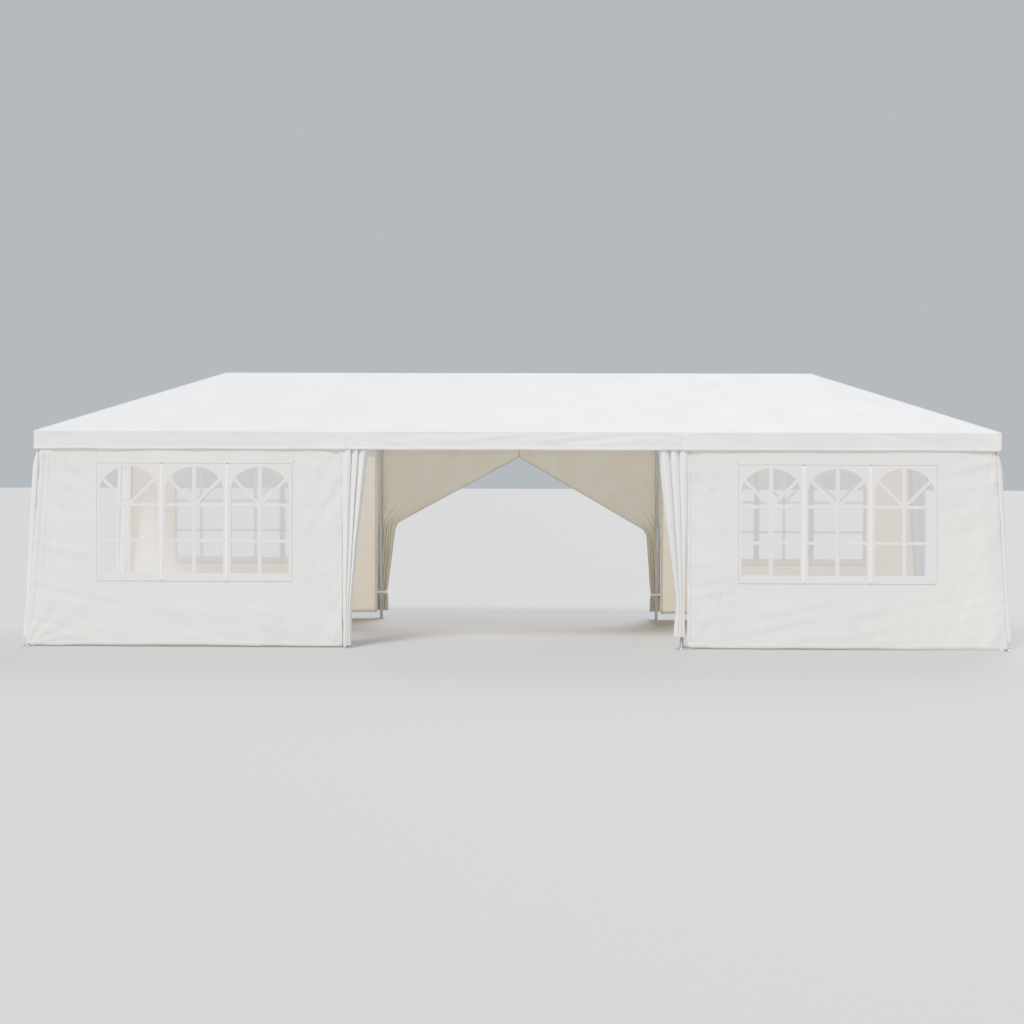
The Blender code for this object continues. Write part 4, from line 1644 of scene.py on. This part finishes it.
            # The level seams get wider thread, a stronger line of painted shade along them
            self.stitch(pile, start, end, lift, width=0.0065 if start[1] == end[1] else 0.005)
        line, head = self.hem + self.hem_width - 0.004, PLAN.eave - 0.16
        hem_row = ((PLAN.seam_at + 0.01, line), (self.outer_edge(line) - 0.01, line))
        seam_row = ((PLAN.seam_at + 0.024, line), (PLAN.seam_at + 0.024, head))
        for row in (hem_row, seam_row):
            self.stitch(pile, *row, 0.0028, stitch_length=0.011, gap=0.009, width=0.0014)
        # This wide, close row of dark thread beside the corner leg paints the shadow line of the gap at the
        # corner
        leg_row = ((self.leg_at(height) + 0.019, height) for height in (line, head))
        self.stitch(pile, *leg_row, 0.0016, stitch_length=0.03, gap=0.006, width=0.005)
        out = Vector(PLAN.outward(self.side))
        # The dark eyelets over the ribs are painted shade of the holes there
        for reach in self.rib_places:
            seat = Vector(self.at(reach, high - 0.001, lift + 0.001))
            pile.add_turned(seat, seat + out, [(0.009, 0), (0.009, 0.0015), (0.0075, 0.0026)], sides=16)
        return pile.piece(f"wall_{self.name}_stitches", THREAD_AND_SHADE, solid=True)

    def build_ties(self) -> bpy.types.Object:
        """Builds the tabs round the eave rail and the straps round the corner leg.

        Returns:
            The ties.
        """
        pile = MeshPile()
        sign = self.side.value[1]
        for i in range(self.rail_ties):
            x = self.end.value * (PLAN.half_centre_bay + self.first_rail_tie + i * self.rail_tie_pitch)
            centre = Vector((x, sign * PLAN.half_span, PLAN.eave))
            add_loop_strap(pile, centre, Vector((1, 0, 0)), (0.0204, 0.0204), 0.03, 0.0016)
        for height in self.leg_tie_heights:
            x = self.end.value * self.leg_at(height)
            y = sign * (PLAN.half_span + PLAN.lean(self.side, height))
            axis = Vector((-self.end.value * PLAN.foot_along, -sign * PLAN.foot_across, PLAN.eave))
            add_loop_strap(pile, Vector((x, y, height)), axis, (0.0202, 0.0202), 0.022, 0.0014)
        return pile.piece(f"wall_{self.name}_ties", TAPE, solid=True)


@dataclass
class GatheredCurtain:
    """Half of an open wall, gathered beside a leg and tied there.

    Each station holds a height, how far the bundle's near and far edges lie beyond the leg, its
    depth there, and how far its folds lean over.
    """

    side: Side
    name: str
    leg_along: Callable[[Array], Array]
    way: int
    seed: int
    stations: Sequence[Sequence[float]]
    flat: tuple[float, float]
    folds: int = 3
    tuck: float = 0.026
    return_folds: int = 9
    return_depth: float = 0.06
    tie_height: float = 0.46

    def build(self) -> None:
        low, high = self.stations[0][0], self.stations[-1][0]
        heights = joined(paced(low, 0.6, 0.016), paced(0.6, high, 0.024))
        cloth = MeshPile()
        near, far, depth, lean = along_stations(heights, self.stations, 0.03)[:, :, None]
        across, bulge, lobe, share = pleats(self.folds, self.seed, 0.6, 32)
        level = heights[:, None]
        wave = lobe * (1 + 0.06 * soft_noise(share * 5, level / 0.5, self.seed + 1))
        spot = near + (far - near) * np.clip(across + bulge, 0, 1)
        # Beside the leg the hollows stop at its tube; further in they run on behind the rail's line
        beyond = np.clip((spot - 0.028) / 0.014, 0, 1) * np.clip((1.98 - level) / 0.05, 0, 1)
        at_corner = np.clip((-0.01 - spot) / 0.006, 0, 1) * (self.side.value[0] == 0)
        back = 0.001 - self.tuck * beyond - 0.013 * at_corner
        out = back + (depth - back) * wave
        spot = spot + lean * (out - depth / 2)
        spot = spot + 0.004 * soft_noise(share * 6, level / 0.35, self.seed + 2)
        along = self.leg_along(heights)[:, None] + self.way * spot
        # What is left of the cloth folds back behind the leg, inside the tent
        again, bulge, turned, late = pleats(self.return_folds, self.seed + 5, 0.3, 18)
        again = np.clip(again + bulge, 0, 1)
        rear = -0.054 - self.return_depth * np.minimum(depth / 0.044, 1) * turned
        rear_along = self.leg_along(heights)[:, None] + self.way * (far - 0.75 * (far - near) * again)
        out, along = np.hstack([out, rear[:, 1:]]), np.hstack([along, rear_along[:, 1:]])
        share = np.concatenate([share * 0.6, 0.6 + 0.4 * late[1:]])
        height = level + np.exp(-(level - low) / 0.05) * 0.006 * soft_noise(share * 9, level * 0, self.seed)
        points = PLAN.place(self.side, along, height, out)
        cloth.add_grid(points, stacked(share[None, :] * self.flat[0], height))
        piece = cloth.piece(f"{self.name}_cloth", LAYERED_SHEET, [self.name])
        strap = self.build_strap()
        f"eave_rail_{self.side.label}"

    def build_strap(self) -> bpy.types.Object:
        """Builds the strap that ties the bundle to the leg.

        Returns:
            The strap.
        """
        pile = MeshPile()
        height = np.array([self.tie_height])
        spot = self.leg_along(height)
        _, far, depth = along_stations(height, self.stations, 0.03)[:3, 0]
        # It goes round the leg and the inner folds, so the outer folds hang over it
        rear = 0.056 + self.return_depth * min(depth / 0.044, 1)
        middle, wide, deep = (far - 0.025) / 2, (far + 0.018) / 2, rear / 2
        centre = Vector(PLAN.place(self.side, spot + self.way * middle, height, -0.001 - deep)[0])
        radii = (wide, deep) if self.side.value[0] == 1 else (deep, wide)
        add_loop_strap(pile, centre, Vector((0, 0, 1)), radii, 0.012, 0.0014)
        return pile.piece(f"{self.name}_strap", LAYERED_SHEET, solid=True)


@dataclass
class DrawnWall:
    """Half of the zipped back wall: flat at the eave, drawn to its leg below the peak."""

    end: End
    seed: int
    kink: tuple[float, float]
    tie: tuple[float, float]
    peak: float = 1.845
    hem: float = 0.08
    folds: int = 8
    depth: float = 0.108
    zip_width: float = 0.024
    header: float = 1.885

    @property
    def name(self) -> str:
        """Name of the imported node."""
        return f"door_flap_back_{self.end.label}"

    def free_edge(self, heights: Array) -> Array:
        """Distance of the zipped edge from the middle of the side.

        Args:
            heights: Heights to read at.

        Returns:
            One distance for each height.
        """
        stations = [
            (self.hem, self.tie[0] - 0.012),
            (self.tie[1] - 0.06, self.tie[0] - 0.014),
            (self.tie[1], self.tie[0]),
            (self.tie[1] + 0.08, self.tie[0] - 0.012),
            (self.kink[1] - 0.03, self.kink[0] + 0.004),
            (self.kink[1] + 0.035, self.kink[0] - 0.03),
            (self.peak, 0.004),
            (self.peak + 0.001, 0.0006),
            (PLAN.eave + 0.05, 0.0006),
        ]
        return along_stations(heights, stations, 0.012)[0]

    def shape(self, heights: Array) -> Array:
        """World points of the cloth, from the zipped edge to the leg.

        Args:
            heights: Height of each row.

        Returns:
            Points by row and column.
        """
        edge = self.free_edge(heights)[:, None]
        across, bulge, lobe, share = pleats(self.folds, self.seed, 0.12, on_face=True)
        reach = edge + (PLAN.seam_at - edge) * across[None, :]
        height = np.broadcast_to(heights[:, None], reach.shape)
        # Below the kink the cloth is pulled into folds; above it they fan out and fade
        distance = np.hypot(reach - self.kink[0] - 0.06, height - self.kink[1])
        pull = np.where(height > self.kink[1], np.exp(-distance / 0.12), 1.0)
        pull = pull * np.exp(-np.maximum(height - self.kink[1], 0) / 0.9)
        reach = reach + (PLAN.seam_at - edge) * bulge * pull**2
        # The strap pinches them
        pinch = 1 - 0.42 * np.exp(-(((height - self.tie[1]) / 0.05) ** 2))
        wave = np.maximum(1 - lobe, 0) * (1 + 0.2 * soft_noise(share * 6, heights[:, None] / 0.4, self.seed))
        folds = self.depth * pull * pinch * wave
        free = settle(PLAN.eave - height, 0.12)
        slack = 0.006 * (1 + soft_noise(reach / 0.5, height / 0.45, self.seed + 1)) * free
        creases = 0.005 * streaks(reach, height, 33, 0.8, 0.07, self.seed + 2) * free
        creases = creases + 0.007 * fan(reach - self.kink[0], height - self.kink[1], 9, 0.2, self.seed)
        hang = 0.0015 * soft_noise(reach / 0.09, height * 0, self.seed + 3)
        hang = hang * np.exp(-(PLAN.eave - height) / 0.2)
        out = np.maximum(0.001 + folds + slack + creases + hang, 0.0005)
        return PLAN.place(Side.BACK, self.end.value * reach, height, out)

    def build(self) -> None:
        knee, peak, eave = self.kink[1] + 0.1, self.peak, PLAN.eave
        heights = joined(paced(self.hem, knee, 0.018), paced(knee, peak, 0.015), paced(peak, eave, 0.016))
        share = pleats(self.folds, self.seed, 0.12, on_face=True)[3]
        pile = MeshPile()
        flat = (PLAN.seam_at, PLAN.eave - self.hem)
        pile.add_grid(self.shape(heights), stacked(share[None, :] * flat[0], heights[:, None]))
        # The drawn half's cloth carries the door sheet's painted shade
        cloth = pile.piece(f"{self.name}_cloth", SHADED_DOOR_SHEET, [self.name])
        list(self.build_zip(heights))
        self.build_strap()

    def build_zip(self, heights: Array) -> list[bpy.types.Object]:
        """Builds the zip tape and its coil along the free edge, and the tape of the header.

        Args:
            heights: Heights of the cloth's rows.

        Returns:
            The tapes and the coil.
        """
        tape, coil = MeshPile(), MeshPile()
        edge = self.shape(heights)[:, 0]
        tangent = unit(np.gradient(edge, axis=0))
        out = np.broadcast_to(PLAN.outward(Side.BACK), edge.shape)
        across = unit(np.cross(out, tangent))
        inward = across * self.end.value
        inward = inward * np.sign(inward[:, :1] * self.end.value + 1e-9)
        shift = inward * (self.zip_width / 2 - 0.004)
        # The tape lies inside, clear of the creases beside the edge
        tape.add_band(edge + shift - out * 0.0045, across, out, self.zip_width, 0.0016)
        coil.add_band(edge - inward * 0.001 - out * 0.005, across, out, 0.008, 0.006)
        # The header's doubled edge shows as a darker line, because no light comes through it
        header = self.shape(np.array([self.header]))[0]
        header[:, 2] += 0.012 * soft_noise(header[:, 0] / 0.45, header[:, 0] * 0, self.seed + 4)
        up, out = (np.broadcast_to(row, header.shape) for row in (UP, out[0]))
        tape.add_band(header - out * 0.0025, up, out, 0.012, 0.003)
        # The zip tape and the header tape share the door sheet's painted shade
        return [
            tape.piece(f"{self.name}_zip_tape", SHADED_DOOR_SHEET, solid=True),
            coil.piece(f"{self.name}_zip_coil", ZIP_COIL, solid=True),
        ]

    def build_strap(self) -> bpy.types.Object:
        """Builds the strap round the bundle and the leg.

        Returns:
            The strap.
        """
        pile = MeshPile()
        height = self.tie[1]
        y = PLAN.half_span + PLAN.lean(Side.BACK, height)
        radius = (self.depth * 0.6 + PLAN.sheet_offset + PLAN.tube) / 2 + 0.006
        centre = Vector((self.end.value * PLAN.half_centre_bay, y + radius - PLAN.tube - 0.003, height))
        add_loop_strap(pile, centre, Vector((0, 0, 1)), (0.066, radius), 0.02, 0.002)
        return pile.piece(f"{self.name}_strap", TAPE, solid=True)


def build_curtains() -> None:
    """Builds the six gathered curtains of the front centre bay and of both ends."""
    top, foot = PLAN.eave - 0.022, PLAN.eave - PLAN.valance_depth
    front_stations = {
        # Not flared: the bundle runs on down its leg to the ground
        End.LEFT: [
            (0.022, -0.034, 0.03, 0.042, 0.1),
            (0.3, -0.034, 0.03, 0.044, 0.15),
            (0.5, -0.036, 0.04, 0.044, 0.2),
            (1.0, -0.046, 0.088, 0.046, 0.4),
            (1.2, -0.05, 0.112, 0.046, 0.4),
            (1.72, -0.052, 0.17, 0.038, 0.4),
            (foot, -0.052, 0.185, 0.026, 0.4),
            (top, -0.052, 0.185, 0.022, 0.3),
        ],
        End.RIGHT: [
            (0.12, -0.026, 0.07, 0.05, 0.0),
            (0.36, -0.022, 0.05, 0.044, 0.1),
            (0.46, -0.02, 0.044, 0.034, 0.1),
            (0.55, -0.026, 0.056, 0.042, 0.2),
            (1.2, -0.044, 0.146, 0.046, 0.4),
            (1.72, -0.05, 0.208, 0.038, 0.4),
            (foot, -0.05, 0.225, 0.026, 0.4),
            (top, -0.05, 0.225, 0.022, 0.3),
        ],
    }
    end_stations = [
        (0.09, -0.026, 0.062, 0.03, 0.0),
        (0.36, -0.0255, 0.056, 0.028, 0.1),
        (0.46, -0.0255, 0.048, 0.022, 0.1),
        (0.56, -0.0255, 0.058, 0.028, 0.2),
        (1.2, -0.0255, 0.12, 0.05, 0.4),
        (1.72, -0.0255, 0.17, 0.05, 0.4),
        (foot, -0.0255, 0.19, 0.017, 0.4),
        (top, -0.0255, 0.19, 0.022, 0.3),
    ]
    for end, stations in front_stations.items():
        sign = end.value
        GatheredCurtain(
            Side.FRONT,
            f"curtain_front_{end.label}",
            lambda heights, s=sign: s * PLAN.half_centre_bay + heights * 0,
            -sign,
            61 + sign,
            stations,
            (1.5, 1.98),
        ).build()
    for end_side, end in ((Side.LEFT, End.LEFT), (Side.RIGHT, End.RIGHT)):
        for side in LONG_SIDES:
            sign = side.value[1]
            GatheredCurtain(
                end_side,
                f"curtain_{end.label}_{side.label}",
                lambda heights, s=sign, d=side: s * (PLAN.half_span + PLAN.lean(d, heights)),
                -sign,
                71 + 3 * sign + end.value,
                end_stations,
                (1.48, 1.92),
                folds=4,
            ).build()


# The studio


@dataclass
class Studio:
    """A plain pale floor, soft light and the camera at the photograph's viewing angle."""

    floor_half: float = 260.0
    camera_at: tuple[float, float, float] = (0.217, -15.4, 1.578)
    lens: float = 52.09
    yaw: float = 1.001
    pitch: float = -1.223
    roll: float = 0.184
    sky: str = "#D8E4F2"
    sky_strength: float = 0.95

    def build(self) -> None:
        """Builds the floor, the light and the camera."""
        self.build_floor()
        self.build_light("key", (-6.0, -10.0, 15.0), 18.0, 15.5, "#FFF8EC")
        # Cool light from overhead, which leaves the upright sheets warmer than the roof
        self.build_light("top", (0.5, -1.0, 20.0), 60.0, 5.8, "#8FBAFF")
        # From behind, so that the back walls glow through as they do in the photograph
        self.build_light("back", (3.0, 10.0, 9.0), 35.0, 10.0, "#F8F6F4")
        self.build_sky()
        self.build_camera()

    def build_floor(self) -> None:
        """Builds the floor as a wide disc."""
        pile = MeshPile()
        reach = np.array([0.01, 2, 5, 9, 16, 30, 60, 120, self.floor_half])
        turn = whole_turn(96)
        points = stacked(np.outer(reach, np.cos(turn)), np.outer(reach, np.sin(turn)), -0.001)
        numbers = pile.add_grid(points, points[..., :2], wrap_columns=True)
        pile.faces.append(numbers[0][::-1].tolist())
        mesh = bpy.data.meshes.new("studio_floor")
        mesh.from_pydata(np.vstack(pile.points).tolist(), [], pile.faces)
        floor = bpy.data.objects.new("studio_floor", mesh)
        bpy.context.scene.collection.objects.link(floor)
        mesh.materials.append(FLOOR_PAINT.material())

    def build_light(
        self, name: str, spot: tuple[float, float, float], spread: float, power: float, colour: str
    ) -> None:
        """Builds a distant soft light that faces the marquee.

        Args:
            name: Name of the light.
            spot: A place on the way to it.
            spread: Angle of its disc in degrees, which softens the shadows.
            power: Watts on a square metre.
            colour: Colour of its light.
        """
        light = bpy.data.lights.new(name, "SUN")
        light.angle, light.energy = math.radians(spread), power
        light.color = linear(colour)[:3]
        made = bpy.data.objects.new(name, light)
        made.location = spot
        made.rotation_euler = (Vector((0, 0, 1.2)) - Vector(spot)).to_track_quat("-Z", "Y").to_euler()
        bpy.context.scene.collection.objects.link(made)

    def build_sky(self) -> None:
        """Builds the even light all round."""
        world = bpy.data.worlds.new("studio_sky")
        world.use_nodes = True
        tree = world.node_tree
        tree.nodes.clear()
        light = {"Color": linear(self.sky), "Strength": self.sky_strength}
        glow = add_node(tree, "ShaderNodeBackground", light)
        add_node(tree, "ShaderNodeOutputWorld", {"Surface": glow.outputs[0]})
        bpy.context.scene.world = world

    def build_camera(self) -> None:
        """Builds the camera that was solved from the photograph."""
        yaw, pitch, roll = (math.radians(a) for a in (self.yaw, self.pitch, self.roll))
        ahead = Vector((-math.sin(yaw) * math.cos(pitch), math.cos(yaw) * math.cos(pitch), math.sin(pitch)))
        right = ahead.cross(Vector((0, 0, 1))).normalized()
        up = right.cross(ahead)
        across = right * math.cos(roll) + up * math.sin(roll)
        upward = up * math.cos(roll) - right * math.sin(roll)
        data = bpy.data.cameras.new("camera")
        data.lens, data.sensor_width, data.sensor_fit = self.lens, 36.0, "HORIZONTAL"
        data.clip_end = 1000.0
        made = bpy.data.objects.new("camera", data)
        turn = Matrix((across, upward, -ahead)).transposed().to_4x4()
        made.matrix_world = Matrix.Translation(self.camera_at) @ turn
        bpy.context.scene.collection.objects.link(made)
        bpy.context.scene.camera = made


def main() -> None:
    """Builds the dressed marquee in order."""
    logging.basicConfig(level=logging.INFO, format="%(name)s %(message)s")
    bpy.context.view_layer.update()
    Studio().build()
    TubeFrame().build()
    RoofCover().build()
    for side, end, seed, hem, corner_folds in (
        (Side.FRONT, End.LEFT, 101, 0.02, 1.0),
        (Side.FRONT, End.RIGHT, 211, 0.02, 0.35),
        (Side.BACK, End.LEFT, 307, 0.06, 0.7),
        (Side.BACK, End.RIGHT, 401, 0.06, 0.7),
    ):
        WindowWall(side, end, seed, hem, corner_folds).build()
    build_curtains()
    DrawnWall(End.LEFT, 501, (1.41, 1.06), (1.51, 0.3)).build()
    DrawnWall(End.RIGHT, 601, (1.455, 0.985), (1.515, 0.28)).build()


if __name__ == "__main__":
    main()
